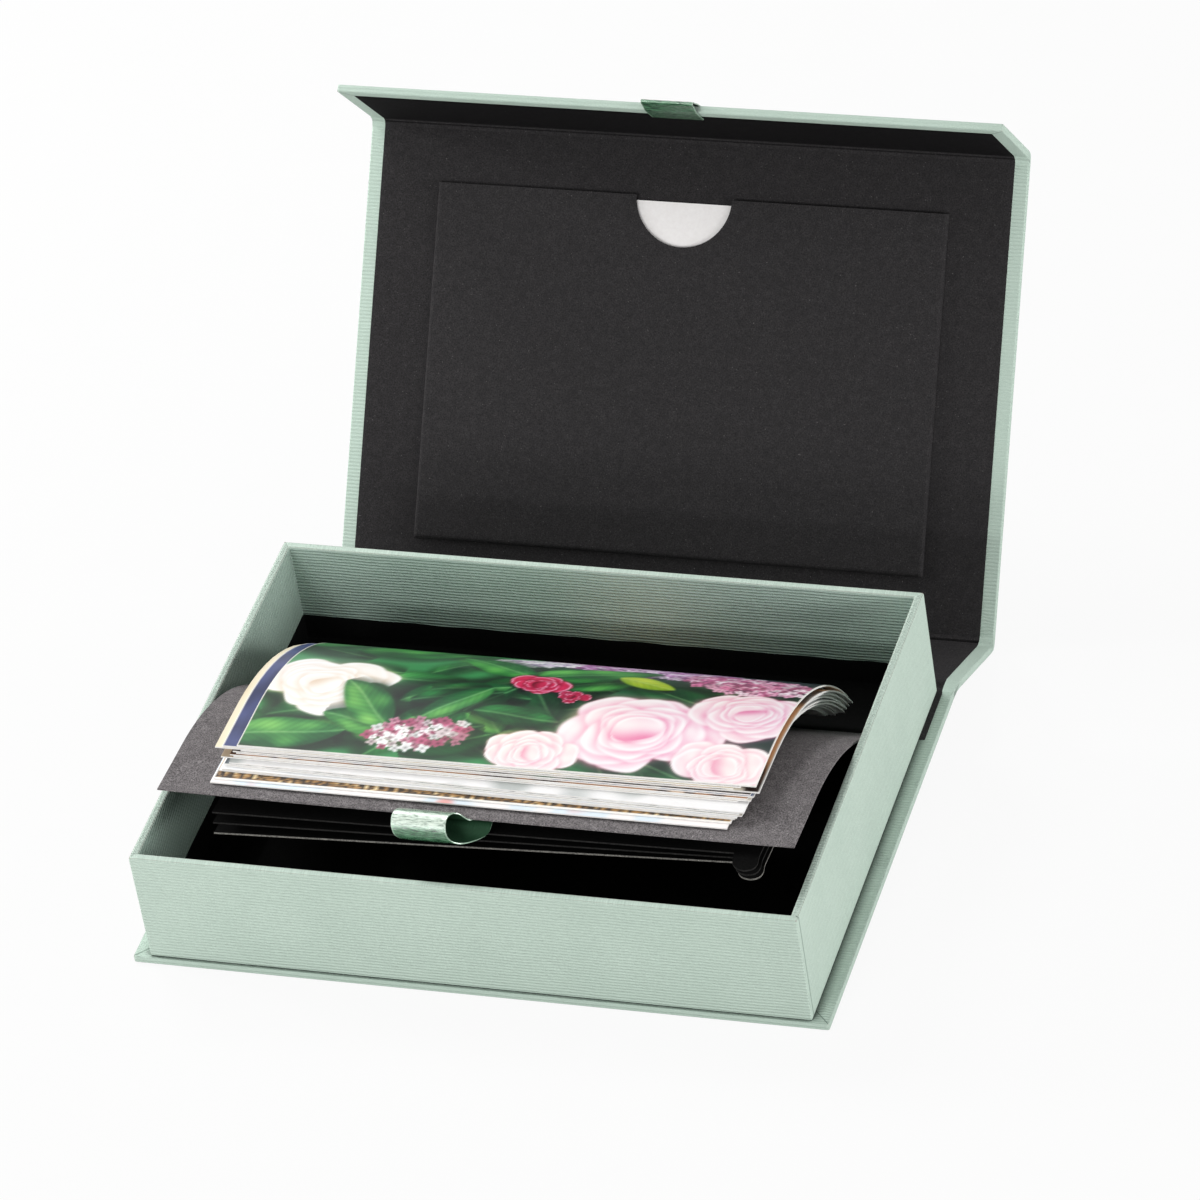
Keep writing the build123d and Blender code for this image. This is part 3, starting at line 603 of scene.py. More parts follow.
# ---------------------------------------------------------------- tray
def build_tray_wrap():
    """Covering paper of the tray. Its section goes up the outside of the wall, over the rounded rim
    and down the inside; it is carried round the tray with its outer corners rounder than the inner.
    The ribs follow X on the front and back and stand upright on the sides; the rim is stretched smooth.
    A seam stands near the front on each side, where the side's paper laps the front's."""
    rim = 0.75
    up_out = np.linspace(0.0, TRAY_HEIGHT - rim, 14)
    turn = np.linspace(0, pi / 2, 6)
    over_in = rim * (1 - np.cos(turn))
    over_up = TRAY_HEIGHT - rim + rim * np.sin(turn)
    down = np.linspace(TRAY_HEIGHT - rim, LINER_TOP - 3, 10)
    insets = np.concatenate([
        [WALL, 0.9, 0.12, 0.03, 0.0], np.zeros(len(up_out) - 1), over_in[1:],
        WALL - over_in[::-1][:-1], np.full(len(down), WALL),
    ])
    heights = np.concatenate([
        [0.0, 0.0, 0.0, 0.12, 0.35], up_out[1:], over_up[1:], over_up[::-1][:-1], down,
    ])
    rings = []
    for inset in insets:
        share = min(inset / WALL, 1.0)
        radius = 0.55 * (1 - share) + 0.35 * share + inset
        rings.append(outline(TRAY_WIDTH, 0.0, TRAY_DEPTH, radius, inset, per_side=60, per_corner=14))
    flat = np.array(rings)
    right, along = flat[..., 0], flat[..., 1]
    points = place(TRAY, right, along, np.broadcast_to(heights[:, None], along.shape))
    rows, columns = along.shape
    faces = grid_faces(rows, columns, closed=True)
    faces += ring_faces((rows - 1) * columns + np.arange(columns), np.arange(columns))
    inside = np.arange(len(faces)) // columns >= len(insets) - len(down) - 1
    wrap = make_piece(
        "tray_wrap_paper", points, faces, [MINT, MINT_INSIDE], face_material=inside.astype(int),
    )
    mesh = wrap.data
    lengths = np.hypot(np.diff(insets), np.diff(heights))
    lengths[heights[1:] > TRAY_HEIGHT - 0.5] = 0.0
    run = np.concatenate([[0], np.cumsum(lengths)])
    corners = np.empty(len(mesh.loops), np.int32)
    mesh.loops.foreach_get("vertex_index", corners)
    sizes = np.empty(len(mesh.polygons), np.int32)
    mesh.polygons.foreach_get("loop_total", sizes)
    face = np.repeat(np.arange(len(sizes)), sizes)
    x_at, y_at, run_at, inset_at = (
        np.broadcast_to(part, along.shape).ravel()[corners]
        for part in (right, along, run[:, None], insets[:, None])
    )
    gap_x = TRAY_WIDTH / 2 - np.abs(np.bincount(face, x_at) / sizes)
    middle_y = np.bincount(face, y_at) / sizes
    gap_y = np.minimum(middle_y, TRAY_DEPTH - middle_y)
    side = (gap_x < gap_y)[face]
    own = mesh.attributes.new("sheet", "FLOAT_VECTOR", "CORNER")
    lap = 1.9
    seam = np.where(side & (inset_at < WALL / 2), y_at - lap, NO_SEAM)
    sheet = np.stack([np.where(side, run_at, x_at), np.where(side, y_at, run_at), seam], -1)
    own.data.foreach_set("vector", sheet.astype(np.float32).ravel())
    stand_in(wrap, "mint_ribbed_paper", "tray", "tray_wrap_paper")


def build_tray_liner():
    """Black liner: a shallow tray of card pressed into the big one. Its top edge is cut a little
    unevenly, by a product of two sines, and a quarter circle joins its sides to its floor."""
    fillet = 1.0
    turn = np.linspace(0, pi / 2, 6)
    insets = np.concatenate([
        [WALL - 0.05, WALL - 0.05, WALL + 0.18, WALL + 0.2], np.full(3, WALL + 0.2),
        WALL + 0.2 + fillet * (1 - np.cos(turn)), [12.0, 40.0],
    ])
    heights = np.concatenate([
        [FLOOR_TOP + 0.6, LINER_TOP, LINER_TOP, LINER_TOP - 0.1], [9.0, 6.0, 4.0],
        FLOOR_TOP + fillet * (1 - np.sin(turn)), [FLOOR_TOP, FLOOR_TOP],
    ])
    flat = np.array([
        outline(TRAY_WIDTH, 0.0, TRAY_DEPTH, inset + 0.4, inset, per_side=70) for inset in insets
    ])
    right, along = flat[..., 0], flat[..., 1]
    up = np.broadcast_to(heights[:, None], along.shape)
    waver = 0.18 * np.sin(right * 0.31 + along * 0.17) * np.sin(right * 0.05 + 1.0)
    points = place(TRAY, right, along, up + np.where(up > LINER_TOP - 0.5, waver, 0.0))
    rows, columns = along.shape
    faces = grid_faces(rows, columns, closed=True)
    faces.append(list(range((rows - 1) * columns, rows * columns)))
    under = place(TRAY, right[0], along[0], FLOOR_TOP - 0.15)
    points = np.concatenate([points.reshape(-1, 3), under])
    base = rows * columns
    faces += ring_faces(np.arange(columns), base + np.arange(columns))
    faces.append(list(range(base, base + columns)))
    liner = make_piece("tray_liner", points, faces, [LINER])
    stand_in(liner, "black_speckled_paper", "tray", "tray_liner")


# ---------------------------------------------------------------- lid pocket
def quarter_rise(gap, fold):
    """0 at an edge and 1 from the fold inwards, on a quarter circle between."""
    return np.sqrt(1 - (1 - np.clip(gap / fold, 0, 1)) ** 2)


def build_pocket():
    """Card pocket on the lid. Its front is a grid whose rows run from the foot to the mouth, with a
    round thumb cut in the mouth; near the other three edges it turns down to the lining on a quarter
    circle, and over the index card it swells a little."""
    half, foot, mouth = 80.0, 20.0, 128.0
    depth = mouth - foot
    thumb_x, thumb_r = -2.0, 15.0
    turn = np.linspace(-pi / 2, pi / 2, 33)
    low, high = PANEL - 0.05, PANEL + 1.4
    fold, sheet_in = 1.1, 0.42
    edges = np.array([0.0, 0.15, 0.4, 0.8, 1.4, 3.0])
    right = np.concatenate([
        -half + edges, np.linspace(-half + 8, thumb_x - thumb_r - 3, 9),
        thumb_x + thumb_r * np.sin(turn),
        np.linspace(thumb_x + thumb_r + 3, half - 8, 9), half - edges[::-1],
    ])
    cut = np.sqrt(np.clip(thumb_r**2 - (right - thumb_x) ** 2, 0, None))
    share = np.concatenate([edges / depth, np.linspace(0.06, 1, 30)])
    along = foot + share[:, None] * (mouth - cut - foot)
    right = np.broadcast_to(right, along.shape)
    rise = quarter_rise(half - np.abs(right), fold) * quarter_rise(along - foot, fold)
    swell = 0.18 * np.cos(pi * right / (2 * half)) * np.sin(pi * np.clip((along - foot) / depth, 0, 1))
    up = low + (high - low) * rise + swell
    inner_right = np.clip(right, -half + sheet_in, half - sheet_in)
    inner_along = np.maximum(along, foot + sheet_in)
    inner_up = np.maximum(up - sheet_in, low - 0.02)
    top = place(LID, right, along, up)
    under = place(LID, inner_right, inner_along, inner_up)
    points, faces = closed_sheet(top, under)
    pocket = make_piece("pocket_front", points, faces, [POCKET], crease=50)
    stand_in(pocket, "black_pocket_paper", "lid", "pocket_panel", "pocket_seams")


def closed_sheet(top, under):
    """Points and faces of a sheet between two grids, closed round its edge."""
    rows, columns = top.shape[:2]
    count = rows * columns
    index = np.arange(count).reshape(rows, columns)
    rim = np.concatenate([index[0], index[1:, -1], index[-1, -2::-1], index[-2:0:-1, 0]])
    faces = grid_faces(rows, columns) + grid_faces(rows, columns, start=count)
    faces += ring_faces(rim, rim + count)
    return np.concatenate([top.reshape(-1, 3), under.reshape(-1, 3)]), faces


# ---------------------------------------------------------------- bent sheets
def bend(shape, stations):
    """A bent line in side view: how far along and up it has come, and its slope in radians, at each
    station along it. Each stretch of the shape has a length and a turn in degrees, spread evenly."""
    lengths = np.array([length for length, turn in shape])
    ends = np.concatenate([[0], np.cumsum(lengths)])
    turns = np.concatenate([[0], np.cumsum([radians(turn) for length, turn in shape])])
    fine = np.linspace(0, ends[-1], 4000)
    slope = np.interp(fine, ends, turns)
    step = fine[1] - fine[0]
    along = np.concatenate([[0], np.cumsum(np.cos((slope[1:] + slope[:-1]) / 2)) * step])
    up = np.concatenate([[0], np.cumsum(np.sin((slope[1:] + slope[:-1]) / 2)) * step])
    return tuple(np.interp(stations, fine, line) for line in (along, up, slope))


def off_line(along, up, sine, cosine, off):
    """A side view moved off its line by a distance along the line's normal: its places along and up,
    one row for each station. The sine and cosine are the slope's."""
    return along[:, None] - off * sine[:, None], up[:, None] + off * cosine[:, None]


def build_lift_out_card():
    """Stiff speckled card bowed over the dividers: the side view of its underside carried along X, and as
    thick as the card. Its cut edges are eased, and its front corners lift by a few tenths. The flap that
    lies on the liner at the back is drawn black: painted shade, standing in for the deep shade behind
    the bow."""
    width, thickness = 187.0, 0.6
    shape = [(21.5, 0), (54.0, -36.485), (29.49, 0), (17.5, 39.985), (11.12, 0)]
    total = sum(length for length, turn in shape)
    ease_from = 0.12
    stations = np.concatenate([
        [0.0, ease_from], np.linspace(0.6, total - 0.6, 110), [total - ease_from, total],
    ])
    along, up, slope = bend(shape, stations)
    right = width / 2 * np.sin(np.linspace(-pi / 2, pi / 2, 41))
    right = np.sort(np.concatenate([right, [-width / 2 + ease_from, width / 2 - ease_from]]))
    lift = 0.35 * (np.abs(right) / (width / 2)) ** 4 * np.exp(-stations[:, None] / 22)
    gap = np.minimum(np.minimum(stations, total - stations)[:, None], width / 2 - np.abs(right))
    ease = ease_from * np.clip(1 - gap / ease_from, 0, 1)
    low, high = lift + ease, lift + thickness - ease
    sine, cosine = np.sin(slope), np.cos(slope)
    points, faces = closed_sheet(*(
        place(CARD, right, *off_line(along, up, sine, cosine, off)) for off in (high, low)
    ))
    # Painted shade: the faces past the start of the black take the black divider card's material.
    at = np.tile(np.repeat(stations, len(right)), 2)
    flap = (at[np.array(faces)].mean(1) > SHADE_BLACK_FROM).astype(int)
    card = make_piece("lift_out_card", points, faces, [GREY_CARD, BLACK_CARD], face_material=flap)
    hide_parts("lift_out_card")
    start = place(TRAY, 0.0, 119.0, FLOOR_TOP)
    end = place(TRAY, 0.0, 94.0, FLOOR_TOP)
    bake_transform(card)


def divider_sheets(shape, tab_reach, droop, stations):
    """One divider in its own plane: a rectangle carried along its bent side view, and at its right end
    a round-ended tab. The tab's edge narrows as a rounded power curve towards its tip, and it droops.
    Each of the two is an upper and an under grid of places to the right, along and up."""
    along, up, slope = bend(shape, stations)
    right = np.linspace(-DIVIDER_WIDTH / 2, DIVIDER_WIDTH / 2, 25)
    sine, cosine = np.sin(slope), np.cos(slope)
    body = [(right, *off_line(along, up, sine, cosine, off)) for off in (DIVIDER_SHEET, 0.0)]
    tab_half, droop_from = 3.7, 2.2
    reach = np.linspace(0, 1, 16)
    narrow = np.clip(1 - np.clip((reach - 0.35) / 0.65, 0, 1) ** 2.6, 0.002, 1)
    half = tab_half * np.sqrt(narrow)
    across = DIVIDER_WIDTH / 2 - tab_half + np.linspace(-1, 1, 9) * half[:, None]
    run = reach * tab_reach
    angle = radians(droop) * np.clip(run / droop_from, 0, 1)
    step = np.diff(run, prepend=0)
    out = np.cumsum(np.cos(angle) * step)[:, None]
    fall = np.cumsum(np.sin(angle) * step)[:, None]
    return body, [(across, -out, off - fall) for off in (DIVIDER_SHEET, 0.0)]


def divider_pile(name, cards, lit_worn=None):
    """One mesh of several dividers, each a sheet's places, turned by its slope and its yaw and moved to the
    right, along and up in the tray. Their cut edges are drawn paler, as painted highlight, and one
    card's most of all, as wear and painted highlight."""
    points, faces, kinds = [], [], []
    for number, (sheets, shift, near, height, slope, yaw) in enumerate(cards):
        for halves in sheets:
            grids = []
            for right, along, up in halves:
                ahead = along * cos(slope) - up * sin(slope)
                above = along * sin(slope) + up * cos(slope)
                grids.append(place(
                    TRAY, shift + right * cos(yaw) - ahead * sin(yaw),
                    near + right * sin(yaw) + ahead * cos(yaw), height + above,
                ))
            new_points, new_faces = closed_sheet(*grids)
            first = sum(len(part) for part in points)
            points.append(new_points)
            faces += [[first + i for i in face] for face in new_faces]
            rows, columns = grids[0].shape[:2]
            flat_faces = 2 * (rows - 1) * (columns - 1)
            kinds += [0] * flat_faces + [2 if number == lit_worn else 1] * (len(new_faces) - flat_faces)
    pile = make_piece(
        name, np.concatenate(points), faces, [BLACK_CARD, CARD_EDGE, LIT_WORN_EDGE], face_material=kinds,
    )
    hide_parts(name)
    return pile


def build_dividers():
    """Black divider cards: five lie flat on the liner, three are raised in front by the card's bow. The
    raised ones stand each a little higher, more bowed and less skewed than the one below."""
    seat, pitch = FLOOR_TOP + PAPER, 0.55
    flat = divider_sheets([(DIVIDER_DEPTH, 0)], 6.5, 0.0, np.linspace(0, DIVIDER_DEPTH, 6))
    lying = [(flat, 3.0, 12.4, seat + pitch * count, 0.0, 0.0) for count in range(5)]
    pile = divider_pile("divider_cards", lying)
    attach(pile, "contents")
    raised = []
    for count in range(3):
        shape = [(20.5, 0), (55.0, -16.4 - 4.0 * count), (22.5, 0)]
        front = 37.6 + 3.1 * count
        foot = 5.15 + PAPER + 2.1 * count
        along, up, _ = bend(shape, np.array([DIVIDER_DEPTH]))
        slope = -np.arcsin((front - foot) / np.hypot(along, up)) - np.arctan2(up, along)
        sheets = divider_sheets(shape, 5.2, 37.0, np.linspace(0, DIVIDER_DEPTH, 40))
        raised.append(
            (sheets, 3.7, 16.6 - 0.4 * count, front, float(slope[0]), radians(2.9 - 0.9 * count)),
        )
    # The lowest raised card's edges are drawn palest: wear and painted highlight.
    pile = divider_pile("raised_divider_cards", raised, lit_worn=0)
    start = place(TRAY, 0.0, 112.0, 6.0)
    end = place(TRAY, 0.0, 80.0, 6.0)
    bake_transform(pile)


# ---------------------------------------------------------------- photographs
def smooth_step(value, low, high):
    """0 below low, 1 above high, and a smooth rise between."""
    share = np.clip((value - low) / (high - low), 0, 1)
    return share * share * (3 - 2 * share)


def ripple(x, y, size, seed):
    """Smooth random field of about this feature size: seven plane waves with random ways and phases."""
    random = np.random.default_rng(seed)
    way = random.uniform(0, 2 * pi, 7)
    phase = random.uniform(0, 2 * pi, 7)
    pace = 2 * pi / size * random.uniform(0.6, 1.5, 7)
    waves = np.sin(pace * (x[..., None] * np.cos(way) + y[..., None] * np.sin(way)) + phase)
    return waves.mean(-1)


def dab(image, mask, colour):
    """The image with a colour laid over it by a mask of 0 to 1."""
    colour = np.asarray(colour)
    return image * (1 - mask[..., None]) + colour * mask[..., None]


def turned(x, y, centre, angle):
    """Coordinates about a centre, along and across a way that is turned by an angle in degrees."""
    right, up = x - centre[0], y - centre[1]
    cosine, sine = cos(radians(angle)), sin(radians(angle))
    return right * cosine + up * sine, up * cosine - right * sine


def paint_leaf(image, x, y, centre, length, width, angle, dark, light, soft=0.8):
    """A leaf: a lens that narrows towards its tip, with a soft shadow under it, one half paler than the
    other, a pale midrib, and faint veins that run out from it at a slant."""
    along, across = turned(x, y, centre, angle)
    across = across + 0.05 * width * np.sin(along / length * 5)
    reach = np.clip(along / (length / 2), -1, 1)
    half = width / 2 * (1 - reach**2) ** 0.7 * (1 - 0.2 * reach)
    inside = half - np.abs(across)
    within = np.abs(along) < length / 2
    shadow = 0.45 * smooth_step(half - np.abs(across + 1.6) + 1.5, -3, 3) * within
    image = dab(image, shadow, shade("#07150D"))
    mottle = 0.5 * ripple(x, y, 13, int(length * 7))
    pale = smooth_step(across, -width / 8, width / 4) * 0.45 + mottle + 0.25
    pale = np.clip(pale - 0.25 * np.exp(-((inside - 0.5) / 1.2) ** 2), 0, 1)
    veins = 0.5 + 0.5 * np.sin((along - np.abs(across) * 1.2) * 2.2)
    tone = dab(shade(dark), pale, shade(light)) * (1 - 0.07 * veins[..., None])
    tone = dab(tone, 0.35 * np.exp(-((across / 0.45) ** 2)), shade("#B9D49C"))
    return dab(image, smooth_step(inside, -soft, soft) * within, tone)


def paint_peony(image, x, y, centre, radius, pale, deep, seed, petals=24):
    """A full blossom: petals as uneven ovals from the rim inwards. Each lays a soft shadow on those
    under it, is deeper towards its foot, and catches light on its lip."""
    random = np.random.default_rng(seed)
    wavy_x = x + radius * 0.07 * ripple(x, y, radius * 0.8, seed)
    wavy_y = y + radius * 0.07 * ripple(x, y, radius * 0.7, seed + 9)
    for count in range(petals):
        share = count / petals
        way = count * GOLDEN_ANGLE + random.uniform(-0.35, 0.35)
        out = radius * (0.76 - 0.7 * share**0.8)
        middle = (centre[0] + out * cos(way), centre[1] + out * sin(way) * 0.82)
        along, across = turned(wavy_x, wavy_y, middle, np.degrees(way) + random.uniform(-18, 18))
        size = radius * (0.46 - 0.2 * share) * random.uniform(0.85, 1.2)
        far = np.hypot(along / (size * 0.86), across / size)
        image = dab(image, 0.3 * smooth_step(1.2 - far, -0.2, 0.3), shade(deep))
        foot = smooth_step(-along / size, -0.2, 0.9) * (0.2 + 0.6 * share)
        glow = 0.5 + 0.8 * ripple(x, y, radius * 0.5, seed + count)
        tone = dab(shade(pale), np.clip(foot + 0.22 * glow, 0, 1), shade(deep))
        image = dab(image, smooth_step(1 - far, -0.07, 0.07), tone)
        lip = smooth_step(far, 0.72, 0.9) * smooth_step(1 - far, -0.02, 0.1)
        lip = lip * smooth_step(along / size, -0.1, 0.5)
        image = dab(image, 0.5 * lip, shade("#FFFFFF"))
    return image


def paint_florets(image, x, y, centre, spread, angle, count, colours, seed, size=1.8):
    """A head of small four-petalled florets spread over an oval by the golden angle, darker between
    them and towards the shaded side."""
    random = np.random.default_rng(seed)
    ahead, aside = turned(x, y, centre, angle)
    far = np.hypot(ahead / spread[0], aside / spread[1]) + 0.12 * ripple(x, y, 7, seed)
    image = dab(image, 0.9 * smooth_step(1 - far, -0.15, 0.15), shade(colours[0]))
    cosine, sine = cos(radians(angle)), sin(radians(angle))
    reach = 3.5
    for number in range(count):
        way, out = number * GOLDEN_ANGLE, np.sqrt((number + 0.5) / count)
        along = spread[0] * out * cos(way) + random.normal(0, 0.6)
        over = spread[1] * out * sin(way) + random.normal(0, 0.6)
        middle = (centre[0] + along * cosine - over * sine, centre[1] + along * sine + over * cosine)
        rows = np.where(np.abs(y[:, 0] - middle[1]) < reach)[0]
        columns = np.where(np.abs(x[0] - middle[0]) < reach)[0]
        if not len(rows) or not len(columns):
            continue
        part = (slice(rows[0], rows[-1] + 1), slice(columns[0], columns[-1] + 1))
        ahead, aside = turned(x[part], y[part], middle, random.uniform(0, 90))
        radius = size * random.uniform(0.7, 1.2)
        out = np.hypot(ahead, aside)
        mask = smooth_step(radius * (0.8 + 0.2 * np.cos(4 * np.arctan2(aside, ahead))) - out, -0.4, 0.4)
        tone = shade(colours[1 + random.integers(len(colours) - 1)]) * random.uniform(0.8, 1.08)
        tone = tone * (1 - 0.35 * np.exp(-((out / 0.6) ** 2)))[..., None]
        image[part] = dab(image[part], mask, np.clip(tone, 0, 1))
    return image


def paint_foliage(image, x, y, count, area, lengths, darks, lights, soft, seed):
    """Leaves strewn over an area at random, those painted later in front."""
    random = np.random.default_rng(seed)
    for number in range(count):
        centre = (random.uniform(area[0], area[2]), random.uniform(area[1], area[3]))
        length = random.uniform(*lengths)
        width = length * random.uniform(0.3, 0.5)
        angle = random.uniform(-60, 60) + 180 * (number % 2)
        image = paint_leaf(
            image, x, y, centre, length, width, angle, darks[number % len(darks)],
            lights[number % len(lights)], soft * random.uniform(0.7, 1.5),
        )
    return image


LILAC = ("#5E3A63", "#DDB6DC", "#C48CC0", "#F1DDF1", "#A9689F")
ROSE = ("#6E3A5E", "#E5A9C6", "#CB779F", "#F6DCEB", "#B5638E")
CREAM = ("#8E8AA0", "#F4EEF6", "#D9C4DE", "#FFFFFF")
BLUSH = ("#4E5A44", "#EFDDE1", "#C98FA2", "#FFFFFF", "#B0657F")
# The bouquet from back to front: which way each part is painted, then its place, sizes and colours, in
# the order that the painting function takes them.
BOUQUET = (
    (paint_foliage, 30, (0, 0, 152, 98), (26, 46), ("#0E2B1C", "#143A26"), ("#2F6A45", "#3E7E50"), 2.6, 12),
    (paint_peony, (84, 92), 14, "#EDBE93", "#B36E3C", 21, 12),
    (paint_leaf, (50, 87), 34, 10, -12, "#8FAE9A", "#E2EEE4", 1.0),
    (paint_foliage, 30, (0, 2, 125, 76), (20, 36), ("#12442A", "#0F3320", "#1B5232"),
     ("#4C9A55", "#2F7A45", "#6CB05E"), 1.0, 18),
    (paint_florets, (100, 72), (30, 13), -7, 260, LILAC, 31),
    (paint_florets, (134, 60), (20, 11), -12, 160, ROSE, 37),
    (paint_florets, (68, 68), (13, 7), 18, 80, CREAM, 41, 1.6),
    (paint_leaf, (32, 68), 34, 20, 10, "#0E4A26", "#57A353", 0.5),
    (paint_leaf, (88, 56), 42, 15, 28, "#14512B", "#74B95F", 0.5),
    (paint_leaf, (60, 58), 30, 13, 150, "#175A30", "#5FA956", 0.5),
    (paint_foliage, 16, (0, 0, 84, 20), (22, 34), ("#0D3A20", "#134A29"),
     ("#3E9150", "#2C7A42", "#78B862"), 0.8, 33),
    (paint_peony, (15, 34), 19, "#F6F1EC", "#D2BBA6", 51),
    (paint_foliage, 14, (30, 8, 76, 48), (18, 30), ("#0F3F24", "#1B5A33"), ("#3F9450", "#86C06A"), 0.6, 27),
    (paint_leaf, (12, 8), 34, 14, 12, "#1B5A33", "#86C06A", 0.6),
    (paint_florets, (50, 12), (15, 7), 10, 80, BLUSH, 57, 1.9),
    (paint_peony, (76, 44), 8.5, "#C93A5E", "#5A0D22", 61, 14),
    (paint_peony, (88, 37), 5, "#B23155", "#4E0C20", 63, 10),
    (paint_peony, (112, 21), 22, "#F7E6E9", "#DC7C9F", 67, 28),
    (paint_peony, (141, 35), 17, "#F6E0E2", "#D57499", 71, 24),
    (paint_peony, (140, 7), 14, "#F7E8E6", "#E08EA6", 75, 22),
    (paint_leaf, (106, 52), 20, 9, -22, "#7C9A2C", "#DCE45C", 0.6),
    (paint_peony, (84, 7), 13, "#F7E7E3", "#E08EA6", 73, 22),
)


def paint_bouquet(x, y):
    """A garden bouquet in soft light before a dark hedge, painted back to front on the print, and given
    a photographic print's contrast at the end."""
    ground = np.clip(0.5 + ripple(x, y, 55, 3) + 0.4 * ripple(x, y, 18, 4), 0, 1)
    image = dab(shade("#0C1524"), ground, shade("#17352B"))
    meadow = smooth_step(70 - 0.5 * x - 0.2 * y + 14 * ripple(x, y, 40, 5), -12, 26)
    image = dab(image, meadow, shade("#3F8455"))
    path = smooth_step(y + 5 * ripple(x, y, 30, 8) - 90, -2, 5)
    path = path * smooth_step(x + 8 * ripple(x, y, 20, 9), 86, 104)
    image = dab(image, path * 0.85, shade("#8F8A68"))
    for paint, *details in BOUQUET:
        image = paint(image, x, y, *details)
    image = np.clip(image + 0.03 * ripple(x, y, 50, 77)[..., None] * np.array([1.0, 0.6, -0.6]), 0, 1)
    return 0.5 * image + 0.5 * image * image * (3 - 2 * image)


# Each print of the pile from the lowest: how far back and right it lies, its skew in degrees, the
# colours of its front strip, its pattern's size in millimetres, and the width of its white border.
PILE = (
    (0.0, -3.0, 0.05, ("#F9F3F1", "#DCE9F2", "#EBA9A4"), 22, 0.0),
    (1.7, -2.4, 0.30, ("#30241A", "#A8804C", "#E9D3A4"), 1.1, 0.5),
    (4.0, -1.7, -0.42, ("#FBF9F8", "#F4F2F1", "#FFFFFF"), 22, 0.0),
    (4.1, -1.0, -0.45, ("#FBFBFB", "#F1F3F5", "#FFFFFF"), 25, 0.0),
    (4.9, 0.4, -0.75, ("#C9C4BA", "#747C70", "#EAE3DA"), 24, 0.0),
    (5.0, -0.4, -0.72, ("#E9ECEF", "#59636A", "#F9F9FA"), 11, 0.0),
    (5.1, 1.0, -0.70, ("#F1F0F0", "#B5BAB8", "#FFFFFF"), 36, 0.0),
    (8.2, -2.0, 0.25, ("#B9A68E", "#E7DCCB", "#F6F0E8"), 30, 0.0),
    (8.3, 1.8, 0.27, ("#F4F4F4", "#EDE4D6", "#E6EBF2"), 14, 0.0),
    (8.4, 0.8, 0.30, ("#B98A66", "#3C2B25", "#E6C9B0"), 18, 0.0),
    (8.9, 2.6, 0.38, ("#D9D4CE", "#27427C", "#F2F0EE"), 12, 0.0),
    (9.0, 1.6, 0.42, ("#3C322E", "#9A958E", "#50684E"), 14, 0.0),
    (9.4, 4.0, 0.62, ("#E0A777", "#3A2E2A", "#F6EEDD"), 12, 0.3),
    (9.5, -3.6, 0.75, ("#EFE3C6", "#DFCDA4", "#F9F4E8"), 14, 0.0),
    (9.7, -1.4, 0.85, ("#1D2650", "#3A4476", "#7C6672"), 14, 0.3),
    (9.9, 3.0, 0.90, None, 0, 0.4),
)
BOW_START, BOW_RADIUS, PILE_PITCH = 27.0, 89.04, 0.46


def pile_place(right, station, rise):
    """A point of a print in the pile: straight from the front edge to the bow, then round it. Prints
    higher in the pile follow the same line at a greater radius."""
    radius = BOW_RADIUS + rise
    angle = np.clip(station - BOW_START, 0, None) / radius
    along = np.minimum(station, BOW_START) + radius * np.sin(angle)
    up = rise - radius * (1 - np.cos(angle))
    return place(PRINTS, right, along, up)


def snapshot(x, y, colours, size, seed):
    """Colours of a print in the pile: three tones in soft blotches of this size in millimetres."""
    field = 0.5 + 0.8 * ripple(x, y * 0.6, size * 2, seed) + 0.5 * ripple(x, y, size * 0.7, seed + 1)
    image = shade(colours[0]) * np.ones(x.shape + (1,))
    image = dab(image, smooth_step(field, 0.4, 0.65), shade(colours[1]))
    return dab(image, smooth_step(field, 0.8, 1.0), shade(colours[2]))


def edge_stations(count_fine, fine, total, count):
    """Stations across a print, close together at both ends and even between."""
    ends = np.arange(count_fine) * fine
    middle = np.linspace(count_fine * fine, total - count_fine * fine, count)
    return np.concatenate([ends, middle, total - ends[::-1]])


def build_print(count, x, y):
    """Points, faces, material indices, own coordinates and colours of one print. The printed face is a
    fine grid. The back is one strip across for each row, as the sheet is straight along X."""
    back, side, skew, colours, size, border = PILE[count]
    x, y = np.meshgrid(x, y)
    turn = radians(skew)
    right = side + (x - PRINT_WIDTH / 2) * cos(turn) - y * sin(turn)
    station = back + (x - PRINT_WIDTH / 2) * sin(turn) + y * cos(turn)
    rise = PILE_PITCH * count
    top = pile_place(right, station, rise + PRINT_SHEET)
    under = pile_place(right[:, [0, -1]], station[:, [0, -1]], rise)
    rows, columns = x.shape
    base = rows * columns
    faces = grid_faces(rows, columns)
    index = np.arange(base).reshape(rows, columns)
    low = base + np.arange(2 * rows).reshape(rows, 2)
    faces += [[low[r, 0], low[r, 1], low[r + 1, 1], low[r + 1, 0]] for r in range(rows - 1)]
    for side_index in (0, 1):
        edge, beneath = index[:, -side_index], low[:, side_index]
        faces += [[edge[r], edge[r + 1], beneath[r + 1], beneath[r]] for r in range(rows - 1)]
    for row in (0, rows - 1):
        faces.append([low[row, 0], *index[row].tolist(), low[row, 1]])
    faces = [[int(i) for i in face] for face in faces]
    kinds = np.ones(len(faces), int)
    kinds[:(rows - 1) * (columns - 1)] = 0
    painted = paint_bouquet(x, y) if colours is None else snapshot(x, y, colours, size, 100 + 7 * count)
    margin = np.minimum(np.minimum(x, PRINT_WIDTH - x), np.minimum(y, PRINT_DEPTH - y))
    painted = dab(painted, (margin < border).astype(float), shade("#F6F3EC"))
    image = np.concatenate([to_linear(painted.reshape(-1, 3)), np.ones((2 * rows, 3))])
    image = np.concatenate([image, np.ones((len(image), 1))], 1)
    own = np.stack([x, y + 200.0 * count, 0 * x], -1).reshape(-1, 3)
    own = np.concatenate([own, np.zeros((2 * rows, 3))])
    return np.concatenate([top.reshape(-1, 3), under.reshape(-1, 3)]), faces, kinds, own, image


